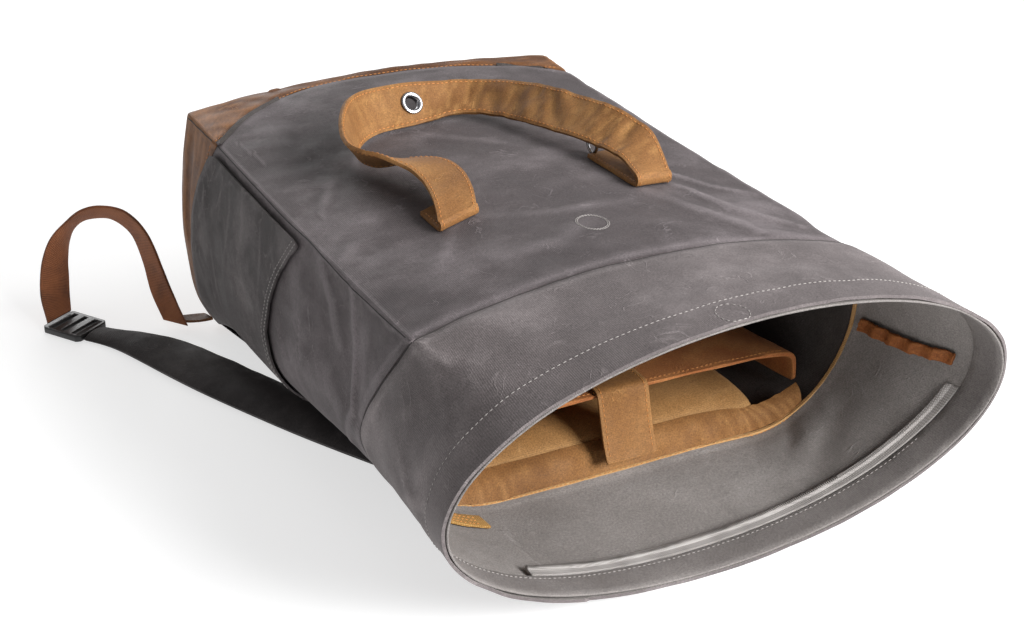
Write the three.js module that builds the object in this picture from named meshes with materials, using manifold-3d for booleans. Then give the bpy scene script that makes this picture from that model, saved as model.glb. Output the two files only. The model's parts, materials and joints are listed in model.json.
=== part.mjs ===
// A roll-top backpack that lies on its back with its collar open, in millimetres.
// X runs across the bag, Y towards its base and Z up; the front panel is on top.
import * as THREE from 'three';
import Module from 'manifold-3d';
import { mergeVertices } from 'three/addons/utils/BufferGeometryUtils.js';

const wasm = await Module();
wasm.setup();

// Driving sizes of the bag
const baseWidth = 300;
const bagDepth = 177;
const frontLength = 405;
const backLength = 355;
const collarFront = 102;
const collarBack = 113;
const mouthWidth = 389;
const mouthHeight = 198;
const mouthShift = 24;
const baseBow = 11;
const baseCrown = 6;

// Cloth, tape and the clearance that pieces keep
const canvas = 2;
const thinCanvas = 1.4;
const tape = 1.8;
const seamGap = 0.9;
const layGap = 0.7;
const insideEase = 0.4;

// Shoulder straps, their buckles and webbing
const padWidth = 47;
const padThickness = 11.6;
const padEndWidth = 25;
const webbingWidth = 26;
const webbingThickness = 2.2;
const buckleLength = 38;
const buckleWidth = 34;
const buckleBar = 6.8;
const buckleThickness = 5;
const buckleSide = 4;

// Handle strap, eyelet and ring
const handleWidth = 32;
const handleThickness = 2.6;
const eyeletOuter = 18;
const eyeletHole = 9;
const eyeletFlange = 1;
const ringRadius = 6.5;
const ringWire = 2.6;

// Things inside the bag
const facingWidth = 24;
const zipTape = 9;
const zipCoil = 3;
const bindingWidth = 10;
const sleeveWidth = 262;
const sleeveTop = 70;
const sleevePadTop = 42;
const sleeveCloth = 3;
const sleeveTabWidth = 38;
const innerTabLength = 32;
const innerTabWidth = 14;

// Points round a section: the front edge, the left side, the back and the right side
const frontPoints = 18;
const sidePoints = 8;
const backPoints = 18;
const leftStart = frontPoints;
const backStart = leftStart + sidePoints;
const rightStart = backStart + backPoints;
const around = rightStart + sidePoints;

const halfWidth = baseWidth / 2;
const backLift = padThickness + layGap;

// Sections from the base edge (0) by the collar seam (1) to the lip (2). Bulges are shares of half
// the width, edge, crown and radius are shares of the depth, and lift is a share of the back's lift.
const sectionColumns = [
  'along', 'leftBulge', 'rightBulge', 'lift', 'edge', 'crown', 'leftRadius', 'rightRadius', 'oval',
];
const sections = [
  [0.00, 0.070, 0.030, 0.00, 1.000, 0.034, 0.12, 0.12, 0.00],
  [0.08, 0.075, 0.050, 0.35, 0.995, 0.045, 0.18, 0.18, 0.00],
  [0.20, 0.075, 0.060, 0.95, 0.985, 0.060, 0.24, 0.24, 0.00],
  [0.35, 0.075, 0.070, 1.00, 0.980, 0.075, 0.27, 0.27, 0.00],
  [0.50, 0.075, 0.080, 1.00, 0.975, 0.087, 0.30, 0.28, 0.00],
  [0.70, 0.070, 0.120, 1.00, 0.975, 0.100, 0.38, 0.22, 0.00],
  [0.88, 0.055, 0.180, 1.00, 0.975, 0.112, 0.43, 0.17, 0.00],
  [1.00, 0.060, 0.240, 1.00, 0.978, 0.120, 0.44, 0.14, 0.03],
  [1.25, 0.060, 0.210, 0.85, 0.985, 0.120, 0.46, 0.22, 0.30],
  [1.50, 0.060, 0.180, 0.45, 0.990, 0.120, 0.48, 0.36, 0.60],
  [1.75, 0.060, 0.180, 0.12, 0.995, 0.120, 0.50, 0.46, 0.88],
  [2.00, 0.060, 0.180, 0.00, 1.000, 0.120, 0.50, 0.50, 1.00],
].map((row) => Object.fromEntries(row.map((cell, at) => [sectionColumns[at], cell])));

// Broad dents and swells: place round the section in points, place along, their reach in both
// directions, and how far out the cloth goes as a share of the depth
const dents = [
  { round: 20.5, along: 0.86, reachRound: 1.8, reachAlong: 0.06, out: -0.034 },
  { round: 21.5, along: 0.70, reachRound: 2.0, reachAlong: 0.07, out: 0.014 },
  { round: 20.0, along: 0.20, reachRound: 1.6, reachAlong: 0.05, out: -0.014 },
  { round: 22.5, along: 0.33, reachRound: 1.8, reachAlong: 0.06, out: 0.012 },
  { round: 2.2, along: 0.74, reachRound: 2.0, reachAlong: 0.05, out: -0.022 },
  { round: 12.5, along: 0.78, reachRound: 2.2, reachAlong: 0.08, out: -0.014 },
  { round: 11.5, along: 1.40, reachRound: 2.6, reachAlong: 0.22, out: -0.020 },
  { round: 5.0, along: 1.35, reachRound: 2.2, reachAlong: 0.20, out: -0.014 },
  { round: 20.5, along: 1.40, reachRound: 2.0, reachAlong: 0.22, out: -0.024 },
  { round: 48.0, along: 1.45, reachRound: 1.8, reachAlong: 0.20, out: -0.018 },
];

const { lerp, clamp } = THREE.MathUtils;

// A smooth column of a table, as a function of its first column
function smoothColumn(rows, place, key) {
  const places = rows.map((row) => row[place]);
  const values = rows.map((row) => row[key]);
  const curve = new THREE.CubicInterpolant(places, values, 1);
  return (at) => curve.evaluate(clamp(at, places[0], places.at(-1)))[0];
}

const sectionAt = {};
for (const key of sectionColumns.slice(1)) {
  sectionAt[key] = smoothColumn(sections, 'along', key);
}

// One point of the boxy section: x, z and its height as a share of the section
function boxPoint(index, section) {
  const { floor, edge, crown } = section;
  let x;
  let z;
  if (index <= leftStart) {
    const share = index / frontPoints;
    x = lerp(halfWidth, -halfWidth, share);
    z = edge + crown * (1 - (2 * share - 1) ** 2);
    return { x, z, height: 1 };
  }
  const onLeft = index < (backStart + rightStart) / 2;
  const turn = onLeft ? index - leftStart : around - index;
  const radius = onLeft ? section.leftRadius : section.rightRadius;
  const upright = edge - floor - radius;
  const halfArc = (radius * Math.PI) / 4;
  const sideLength = upright + halfArc;
  const flat = halfWidth - radius;
  let travel;
  if (turn <= sidePoints) {
    travel = (turn / sidePoints) * sideLength;
  } else {
    travel = sideLength + ((turn - sidePoints) / (backPoints / 2)) * (halfArc + flat);
  }
  if (travel < upright) {
    x = halfWidth;
    z = edge - travel;
  } else if (travel < upright + 2 * halfArc) {
    const angle = (travel - upright) / radius;
    x = halfWidth - radius + radius * Math.cos(angle);
    z = floor + radius - radius * Math.sin(angle);
  } else {
    x = flat - (travel - upright - 2 * halfArc);
    z = floor;
  }
  const height = clamp((z - floor) / (edge - floor), 0, 1);
  x += 4 * height * (1 - height) * (onLeft ? section.leftBulge : section.rightBulge);
  return { x: onLeft ? -x : x, z, height };
}

// One point of the oval mouth, matched to the same point of the boxy section
const cornerAngle = THREE.MathUtils.degToRad(42);
function ovalPoint(index) {
  const corners = [cornerAngle, Math.PI - cornerAngle, Math.PI + cornerAngle, 2 * Math.PI - cornerAngle];
  corners.push(2 * Math.PI + cornerAngle);
  const starts = [0, leftStart, backStart, rightStart, around];
  const run = starts.findIndex((start, place) => index >= start && index <= starts[place + 1]);
  const share = (index - starts[run]) / (starts[run + 1] - starts[run]);
  const angle = lerp(corners[run], corners[run + 1], share);
  const height = (1 + Math.sin(angle)) / 2;
  return { x: mouthShift + (mouthWidth / 2) * Math.cos(angle), z: mouthHeight * height, height };
}

// A point of the bag's outer skin before its dents
function plainSkin(index, along) {
  const section = {
    floor: sectionAt.lift(along) * backLift,
    edge: sectionAt.edge(along) * bagDepth,
    crown: sectionAt.crown(along) * bagDepth,
    leftRadius: sectionAt.leftRadius(along) * bagDepth,
    rightRadius: sectionAt.rightRadius(along) * bagDepth,
    leftBulge: sectionAt.leftBulge(along) * halfWidth,
    rightBulge: sectionAt.rightBulge(along) * halfWidth,
  };
  const oval = sectionAt.oval(along);
  const box = boxPoint(index, section);
  const mouth = ovalPoint(index);
  const inBody = Math.min(along, 1);
  const inCollar = Math.max(along - 1, 0);
  const frontY = -(inBody * frontLength + inCollar * collarFront);
  const backY = -(inBody * backLength + inCollar * collarBack);
  const slope = lerp(box.height ** 2, mouth.height, oval);
  const bow = baseBow * (1 - (box.x / halfWidth) ** 2) * clamp(1 - along / 0.6, 0, 1) ** 2;
  return new THREE.Vector3(
    lerp(box.x, mouth.x, oval),
    lerp(backY, frontY, slope) + Math.max(bow, 0),
    lerp(box.z, mouth.z, oval),
  );
}

function wrap(index) {
  return ((index % around) + around) % around;
}

// The outward direction of the skin at one of its points
function skinNormal(index, along) {
  const step = 0.02;
  const before = plainSkin(wrap(index - 0.5), along);
  const after = plainSkin(wrap(index + 0.5), along);
  const low = plainSkin(index, Math.max(along - step, 0));
  const high = plainSkin(index, Math.min(along + step, 2));
  const round = after.sub(before);
  return new THREE.Vector3().crossVectors(round, high.sub(low)).normalize();
}

function dentAt(index, along) {
  let out = 0;
  for (const dent of dents) {
    const offRound = (wrap(index - dent.round + around / 2) - around / 2) / dent.reachRound;
    const offAlong = (along - dent.along) / dent.reachAlong;
    out += dent.out * bagDepth * Math.exp(-(offRound ** 2) - offAlong ** 2);
  }
  return out;
}

// A point at a depth under the outer skin; a negative depth lies outside it
function skin(index, along, depth = 0) {
  const whole = Math.floor(index);
  const part = index - whole;
  if (part > 1e-6) {
    return skin(wrap(whole), along, depth).lerp(skin(wrap(whole + 1), along, depth), part);
  }
  const at = wrap(whole);
  return plainSkin(at, along).addScaledVector(skinNormal(at, along), dentAt(at, along) - depth);
}

// Solids

function geometryOf(points, faces) {
  const geometry = new THREE.BufferGeometry();
  geometry.setAttribute('position', new THREE.Float32BufferAttribute(points.flatMap((point) => point.toArray()), 3));
  let volume = 0;
  for (const [a, b, c] of faces) {
    volume += points[a].dot(new THREE.Vector3().crossVectors(points[b], points[c]));
  }
  const outward = volume > 0 ? faces : faces.map(([a, b, c]) => [a, c, b]);
  geometry.setIndex(outward.flat());
  return geometry;
}

function quad(faces, a, b, c, d) {
  faces.push([a, b, c], [a, c, d]);
}

// A closed skin through rings of points that each run once round; a pole may close either end
function loft(rings, startPole, endPole) {
  const count = rings[0].length;
  const points = rings.flat();
  const faces = [];
  for (let ring = 0; ring < rings.length - 1; ring += 1) {
    for (let at = 0; at < count; at += 1) {
      const next = (at + 1) % count;
      const here = ring * count;
      const there = here + count;
      quad(faces, here + at, here + next, there + next, there + at);
    }
  }
  const last = (rings.length - 1) * count;
  const start = points.push(startPole ?? rings[0][0]) - 1;
  const end = points.push(endPole ?? rings.at(-1)[0]) - 1;
  for (let at = 0; at < count; at += 1) {
    const next = (at + 1) % count;
    faces.push([start, next, at], [end, last + at, last + next]);
  }
  return geometryOf(points, faces);
}

// A ring-shaped body: rings that run from the outer wall back along the inner wall to the start
function hollowLoft(rings) {
  const count = rings[0].length;
  const points = rings.flat();
  const faces = [];
  for (let ring = 0; ring < rings.length; ring += 1) {
    for (let at = 0; at < count; at += 1) {
      const next = (at + 1) % count;
      const here = ring * count;
      const there = ((ring + 1) % rings.length) * count;
      quad(faces, here + at, here + next, there + next, there + at);
    }
  }
  return geometryOf(points, faces);
}

// A plate between two grids of points, each a list of rows
function plate(near, far) {
  const rows = near.length;
  const columns = near[0].length;
  const points = [...near.flat(), ...far.flat()];
  const faces = [];
  const at = (layer, row, column) => (layer * rows + row) * columns + column;
  for (let row = 0; row < rows - 1; row += 1) {
    for (let column = 0; column < columns - 1; column += 1) {
      quad(faces, at(0, row, column), at(0, row, column + 1), at(0, row + 1, column + 1), at(0, row + 1, column));
      quad(faces, at(1, row, column), at(1, row + 1, column), at(1, row + 1, column + 1), at(1, row, column + 1));
    }
  }
  for (let row = 0; row < rows - 1; row += 1) {
    quad(faces, at(0, row, 0), at(0, row + 1, 0), at(1, row + 1, 0), at(1, row, 0));
    const end = columns - 1;
    quad(faces, at(0, row, end), at(1, row, end), at(1, row + 1, end), at(0, row + 1, end));
  }
  for (let column = 0; column < columns - 1; column += 1) {
    quad(faces, at(0, 0, column), at(1, 0, column), at(1, 0, column + 1), at(0, 0, column + 1));
    const end = rows - 1;
    quad(faces, at(0, end, column), at(0, end, column + 1), at(1, end, column + 1), at(1, end, column));
  }
  return geometryOf(points, faces);
}

const bag = new THREE.Group();

function addMesh(name, geometry, look) {
  const mesh = new THREE.Mesh(geometry, new THREE.MeshStandardMaterial(look));
  mesh.name = name;
  bag.add(mesh);
  return mesh;
}

const greyCanvas = { color: '#6f6a68', roughness: 0.85, metalness: 0 };
const darkCanvas = { color: '#454140', roughness: 0.88, metalness: 0 };
const brownCanvas = { color: '#80563b', roughness: 0.7, metalness: 0 };
const tanCanvas = { color: '#b47c42', roughness: 0.8, metalness: 0 };
const brownWebbing = { color: '#8a4f29', roughness: 0.75, metalness: 0 };
const silver = { color: '#c9c9cb', roughness: 0.25, metalness: 1 };
const blackMetal = { color: '#1f1e1f', roughness: 0.4, metalness: 0.8 };

// Seams, as places along the skin for each point round it

// The base cup comes up in an arc on the front and in a shallow curve on the sides
const baseSeam = { middle: 8, leftCorner: 68, rightCorner: 40, side: 23, back: 26 };
function baseSeamAt(index) {
  const across = (2 * index) / frontPoints - 1;
  if (index <= leftStart) {
    const corner = across > 0 ? baseSeam.leftCorner : baseSeam.rightCorner;
    return lerp(baseSeam.middle, corner, Math.abs(across) ** 3) / frontLength;
  }
  const onLeft = index < (backStart + rightStart) / 2;
  const turn = (onLeft ? index - leftStart : around - index) / sidePoints;
  const corner = onLeft ? baseSeam.leftCorner : baseSeam.rightCorner;
  const side = lerp(baseSeam.side, corner, clamp(1 - turn, 0, 1) ** 2.5);
  return lerp(side, baseSeam.back, clamp(turn - 1, 0, 1)) / frontLength;
}

// The collar seam dips towards the base on the left side and rises towards the lip on the right
const seamDip = { left: 28, right: -26 };
function collarSeamAt(index) {
  if (index <= leftStart) return 1;
  const onLeft = index < (backStart + rightStart) / 2;
  const turn = (onLeft ? index - leftStart : around - index) / sidePoints;
  const dip = onLeft ? seamDip.left : seamDip.right;
  return 1 - (dip / frontLength) * Math.sin(Math.PI * clamp(turn / 1.5, 0, 1)) ** 2;
}

const everyIndex = Array.from({ length: around }, (_, index) => index);
const seamShare = seamGap / 2 / frontLength;

function ringAlong(placeAt, depth) {
  return everyIndex.map((index) => skin(index, placeAt(index), depth));
}

function wallBetween(from, to, steps, outer, inner) {
  const rings = [];
  for (let step = 0; step <= steps; step += 1) {
    rings.push(ringAlong((index) => lerp(from(index), to(index), step / steps), outer));
  }
  for (let step = steps; step >= 0; step -= 1) {
    rings.push(ringAlong((index) => lerp(from(index), to(index), step / steps), inner));
  }
  return hollowLoft(rings);
}

// Base cup: a bowed end panel, and walls up to the base seam
const capShares = [0.3, 0.62, 0.86, 0.97];
function capRing(share, depth) {
  const start = depth / frontLength;
  const edge = everyIndex.map((index) => skin(index, start, depth));
  const middle = new THREE.Vector3(0, baseBow - depth, bagDepth / 2);
  return edge.map((point) => {
    const place = middle.clone().lerp(point, share);
    place.y += baseCrown * (1 - share ** 2);
    return place;
  });
}

function addBaseCup() {
  const rings = capShares.map((share) => capRing(share, 0));
  const wallSteps = 2;
  const rim = (index) => baseSeamAt(index) - seamShare;
  for (let step = 0; step <= wallSteps; step += 1) {
    rings.push(ringAlong((index) => (rim(index) * step) / wallSteps, 0));
  }
  for (let step = wallSteps; step >= 0; step -= 1) {
    const start = canvas / frontLength;
    rings.push(ringAlong((index) => lerp(start, rim(index), step / wallSteps), canvas));
  }
  for (const share of [...capShares].reverse()) {
    rings.push(capRing(share, canvas));
  }
  const outerPole = new THREE.Vector3(0, baseBow + baseCrown, bagDepth / 2);
  const innerPole = outerPole.clone().setY(outerPole.y - canvas);
  addMesh('base_cup', loft(rings, outerPole, innerPole), brownCanvas);
}

// The body tube between the two seams
const bodySteps = 12;
const bodyStart = (index) => baseSeamAt(index) + seamShare;
const bodyEnd = (index) => collarSeamAt(index) - seamShare;
function addBodyAndCollar() {
  addMesh('body_shell', wallBetween(bodyStart, bodyEnd, bodySteps, 0, canvas), greyCanvas);
  const collarStart = (index) => collarSeamAt(index) + seamShare;
  addMesh('collar', wallBetween(collarStart, () => 2, 6, 0, canvas), { ...greyCanvas, color: '#8b8683' });
}

// Facing: a band inside the lip, as wide as its named size all round
const facingStart = 2 - facingWidth / collarBack;
function addFacing() {
  const depth = canvas + seamGap;
  addMesh('mouth_facing', wallBetween(() => facingStart, () => 2, 1, depth, depth + thinCanvas), greyCanvas);
}

// A plate that lies on the skin, from a grid of places round and along it
function plateOnSkin(rounds, alongs, place, depths) {
  const grid = (side) => alongs.map((v) => rounds.map((u) => {
    const [index, along] = place(u, v);
    return skin(wrap(index), along, depths(u, v)[side]);
  }));
  return plate(grid(0), grid(1));
}

function steps(from, to, count) {
  return Array.from({ length: count + 1 }, (_, step) => lerp(from, to, step / count));
}

// One half of the zip, along the inner edge of the facing on the back and up the right side
const zipRun = { from: backStart + 2, to: around - 5 };
function addZip() {
  const edge = facingStart - layGap / collarBack;
  const tapeShare = zipTape / collarBack;
  const depth = canvas + seamGap + insideEase;
  const place = (u, v) => [u, edge - tapeShare * (1 - v)];
  const thickness = (v) => (v < 0.4 ? zipCoil : thinCanvas);
  const depths = (u, v) => [depth, depth + thickness(v)];
  const rounds = steps(zipRun.from, zipRun.to, zipRun.to - zipRun.from);
  addMesh('collar_zip', plateOnSkin(rounds, [0, 0.35, 0.45, 1], place, depths), greyCanvas);
}

// Side pockets: a panel over each side, open towards the mouth along a curved hem
const pocketRoom = 8;
const pocketClear = 1.1;
const pocketEnd = sidePoints + 1;
const pocketHem = [
  { down: 0.00, along: 0.620 },
  { down: 0.25, along: 0.600 },
  { down: 0.50, along: 0.583 },
  { down: 0.70, along: 0.598 },
  { down: 0.85, along: 0.640 },
  { down: 1.00, along: 0.720 },
];
const hemAt = smoothColumn(pocketHem, 'down', 'along');

function addPocket(name, isLeft) {
  const place = (turn, share) => {
    const index = isLeft ? leftStart + turn : around - turn;
    const start = baseSeamAt(index) + 2 * seamShare;
    return [index, lerp(start, hemAt(turn / pocketEnd), share)];
  };
  const depths = (turn, share) => {
    const fullness = Math.max(Math.sin((Math.PI * turn) / pocketEnd), 0);
    const out = pocketClear + pocketRoom * fullness ** 0.8 * share ** 1.5;
    return [-out, -out - thinCanvas];
  };
  const geometry = plateOnSkin([0.4, ...steps(1, pocketEnd, pocketEnd - 1)], steps(0, 1, 8), place, depths);
  addMesh(name, geometry, darkCanvas);
}

// Tan tape over the collar seam inside, from one side over the back to the other
const bindingStart = { left: leftStart + 3, right: around - 3 };
function gather(count, share) {
  return 0.5 + 0.5 * Math.cos(2 * Math.PI * count * share);
}

function addSeamBinding() {
  const width = bindingWidth / frontLength;
  const place = (u, v) => [u, collarSeamAt(u) + width * (v - 0.5)];
  const depths = () => [canvas + layGap, canvas + layGap + tape];
  const count = bindingStart.right - bindingStart.left;
  const rounds = steps(bindingStart.left, bindingStart.right, count);
  addMesh('seam_binding', plateOnSkin(rounds, [0, 1], place, depths), tanCanvas);
}

// Gathered tape up the collar's side seams, from the seam binding to the facing
const ruffleDepth = 2.6;
const ruffles = 5;
function addSideBinding(name, index, towards) {
  const start = collarSeamAt(index) + (bindingWidth / 2 + 3 * layGap) / collarBack;
  const end = facingStart - (zipTape + 3 * layGap) / collarBack;
  const width = towards * 0.62;
  const place = (v, u) => [index + width * (v - 0.5), lerp(start, end, u)];
  const depths = (v, u) => {
    const under = canvas + layGap + insideEase;
    return [under, under + tape + ruffleDepth * gather(ruffles, u)];
  };
  addMesh(name, plateOnSkin([0, 1], steps(0, 1, ruffles * 4), place, depths), tanCanvas);
}

// Laptop sleeve: a padded back on the bag's back, and a front over it that opens towards the mouth
const sleeveLeft = -99;
const sleeveMouth = backLength - 7;
const sleeveFoot = 48;
function addSleeve() {
  const under = canvas + layGap;
  const padRounds = steps(backStart + 1, rightStart - 1, 16);
  const padAlongs = [...steps(1, bodySteps - 1, bodySteps - 2), bodySteps - 0.4];
  const bottom = padAlongs.map((step) => padRounds.map((index) => {
    const along = lerp(bodyStart(index), bodyEnd(index), step / bodySteps);
    return skin(index, along, under);
  }));
  const top = bottom.map((row, at) => row.map((point) => {
    const edgeDrop = at === padAlongs.length - 1 ? 0.35 * (sleevePadTop - point.z) : 0;
    const level = Math.max(sleevePadTop - edgeDrop, point.z + thinCanvas);
    return new THREE.Vector3(point.x, point.y, level);
  }));
  addMesh('sleeve_back', plate(bottom, top), tanCanvas);

  const arch = ({ y, top, narrow }, drop) => {
    const left = sleeveLeft - narrow / 4 + drop;
    const right = sleeveLeft + sleeveWidth - narrow - drop;
    const foot = sleevePadTop + seamGap + drop;
    const corner = 7;
    return [
      new THREE.Vector3(left, y, foot),
      new THREE.Vector3(left, y, top - corner - drop),
      new THREE.Vector3(left + corner, y, top - drop),
      new THREE.Vector3(lerp(left, right, 0.5), y, top + 2 - drop),
      new THREE.Vector3(right - corner, y, top - drop),
      new THREE.Vector3(right, y, top - corner - drop),
      new THREE.Vector3(right, y, foot),
    ];
  };
  const stations = [
    { y: -sleeveMouth, top: sleeveTop, narrow: 0 },
    { y: -sleeveMouth * 0.78, top: sleeveTop - 2, narrow: 12 },
    { y: -sleeveMouth * 0.5, top: sleeveTop - 6, narrow: 22 },
    { y: -sleeveFoot, top: sleeveTop - 12, narrow: 30 },
  ];
  const outer = stations.map((station) => arch(station, 0));
  const inner = stations.map((station) => arch(station, sleeveCloth));
  for (const row of inner) {
    row[0].z = sleevePadTop + seamGap;
    row[6].z = sleevePadTop + seamGap;
  }
  addMesh('sleeve_front', plate(outer, inner), tanCanvas);
}

addBaseCup();
addBodyAndCollar();
addFacing();
addZip();
addPocket('side_pocket_left', true);
addPocket('side_pocket_right', false);
addSeamBinding();
addSideBinding('side_binding_right', around - 3.9, 1);
addSideBinding('side_binding_left', leftStart + 3.9, 1);
addSleeve();

// A point on the front of the bag, from its place across and along
function frontPoint(x, y, rise) {
  const along = -y / frontLength;
  const height = sectionAt.edge(along) + sectionAt.crown(along) * (1 - (x / halfWidth) ** 2);
  const index = (frontPoints * (1 - x / halfWidth)) / 2;
  return new THREE.Vector3(x, y, height * bagDepth + dentAt(index, along) + rise);
}

// A strap between two edge lines, as thick as its cloth
function ribbon(lows, highs, thickness, count, sharp) {
  const curve = (points) => new THREE.CatmullRomCurve3(points, false, 'centripetal');
  const sampled = (points) => (sharp ? points : curve(points).getPoints(count));
  const low = sampled(lows);
  const high = sampled(highs);
  const middles = low.map((point, at) => point.clone().lerp(high[at], 0.5));
  const rings = low.map((point, at) => {
    const before = middles[Math.max(at - 1, 0)];
    const after = middles[Math.min(at + 1, middles.length - 1)];
    const run = after.clone().sub(before);
    const across = high[at].clone().sub(point);
    const face = new THREE.Vector3().crossVectors(run, across).setLength(thickness / 2);
    return [
      point.clone().add(face),
      high[at].clone().add(face),
      high[at].clone().sub(face),
      point.clone().sub(face),
    ];
  });
  const start = middles[0].clone();
  const end = middles.at(-1).clone();
  return { geometry: loft(rings, start, end), middles, rings };
}

function manifoldOf(geometry) {
  const bare = geometry.clone();
  bare.deleteAttribute('normal');
  bare.deleteAttribute('uv');
  const merged = mergeVertices(bare, 1e-4);
  return new wasm.Manifold(new wasm.Mesh({
    numProp: 3,
    vertProperties: merged.attributes.position.array,
    triVerts: new Uint32Array(merged.index.array),
  }));
}

function cutAway(geometry, tools) {
  const left = tools.reduce((solid, tool) => solid.subtract(manifoldOf(tool)), manifoldOf(geometry));
  const mesh = left.getMesh();
  const result = new THREE.BufferGeometry();
  result.setAttribute('position', new THREE.Float32BufferAttribute(mesh.vertProperties, 3));
  result.setIndex(Array.from(mesh.triVerts));
  return result;
}

// The way of the handle strap between its folds, by its low and its high edge: places across are
// shares of half the width, along shares of the front's length, and heights shares of the depth
const handleWay = [
  { lowX: -0.313, lowY: -0.674, lowZ: 1.120, highX: -0.520, highY: -0.696, highZ: 1.113 },
  { lowX: -0.293, lowY: -0.620, lowZ: 1.138, highX: -0.493, highY: -0.644, highZ: 1.132 },
  { lowX: -0.310, lowY: -0.570, lowZ: 1.144, highX: -0.513, highY: -0.605, highZ: 1.155 },
  { lowX: -0.387, lowY: -0.528, lowZ: 1.124, highX: -0.553, highY: -0.578, highZ: 1.172 },
  { lowX: -0.453, lowY: -0.505, lowZ: 1.097, highX: -0.593, highY: -0.548, highZ: 1.182 },
  { lowX: -0.520, lowY: -0.475, lowZ: 1.070, highX: -0.640, highY: -0.520, highZ: 1.185 },
  { lowX: -0.547, lowY: -0.438, lowZ: 1.062, highX: -0.665, highY: -0.475, highZ: 1.186 },
  { lowX: -0.530, lowY: -0.393, lowZ: 1.060, highX: -0.620, highY: -0.413, highZ: 1.192 },
  { lowX: -0.475, lowY: -0.355, lowZ: 1.060, highX: -0.535, highY: -0.350, highZ: 1.212 },
  { lowX: -0.395, lowY: -0.328, lowZ: 1.060, highX: -0.442, highY: -0.303, highZ: 1.209 },
  { lowX: -0.300, lowY: -0.316, lowZ: 1.060, highX: -0.330, highY: -0.276, highZ: 1.203 },
  { lowX: -0.140, lowY: -0.313, lowZ: 1.060, highX: -0.125, highY: -0.264, highZ: 1.198 },
  { lowX: -0.067, lowY: -0.311, lowZ: 1.064, highX: 0.000, highY: -0.257, highZ: 1.181 },
  { lowX: 0.080, lowY: -0.314, lowZ: 1.075, highX: 0.180, highY: -0.257, highZ: 1.164 },
  { lowX: 0.180, lowY: -0.348, lowZ: 1.086, highX: 0.307, highY: -0.296, highZ: 1.175 },
  { lowX: 0.240, lowY: -0.400, lowZ: 1.098, highX: 0.393, highY: -0.368, highZ: 1.203 },
  { lowX: 0.280, lowY: -0.454, lowZ: 1.109, highX: 0.427, highY: -0.430, highZ: 1.224 },
  { lowX: 0.313, lowY: -0.506, lowZ: 1.119, highX: 0.470, highY: -0.479, highZ: 1.228 },
  { lowX: 0.360, lowY: -0.565, lowZ: 1.124, highX: 0.533, highY: -0.556, highZ: 1.229 },
  { lowX: 0.390, lowY: -0.615, lowZ: 1.127, highX: 0.580, highY: -0.605, highZ: 1.212 },
  { lowX: 0.407, lowY: -0.655, lowZ: 1.124, highX: 0.610, highY: -0.640, highZ: 1.186 },
  { lowX: 0.410, lowY: -0.690, lowZ: 1.118, highX: 0.620, highY: -0.668, highZ: 1.143 },
];
const eyeletRow = 11;

// Where each end folds under, across and along, and how far its sewn end runs back
const handleFolds = {
  left: { lowX: -0.347, lowY: -0.712, highX: -0.547, highY: -0.735, back: 27, radius: 2.6 },
  right: { lowX: 0.387, lowY: -0.735, highX: 0.593, highY: -0.715, back: 62, radius: 3.4 },
};

function foldPoints(fold, edge) {
  const x = fold[`${edge}X`] * halfWidth;
  const y = fold[`${edge}Y`] * frontLength;
  const rest = handleThickness / 2 + layGap;
  const points = [frontPoint(x, y + fold.back, rest), frontPoint(x, y + fold.back / 2, rest)];
  for (const turn of [-90, -30, 30, 90]) {
    const angle = THREE.MathUtils.degToRad(turn);
    const rise = rest + fold.radius * (1 + Math.sin(angle));
    const place = frontPoint(x, y, rise);
    place.y -= fold.radius * Math.cos(angle);
    points.push(place);
  }
  return points;
}

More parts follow.
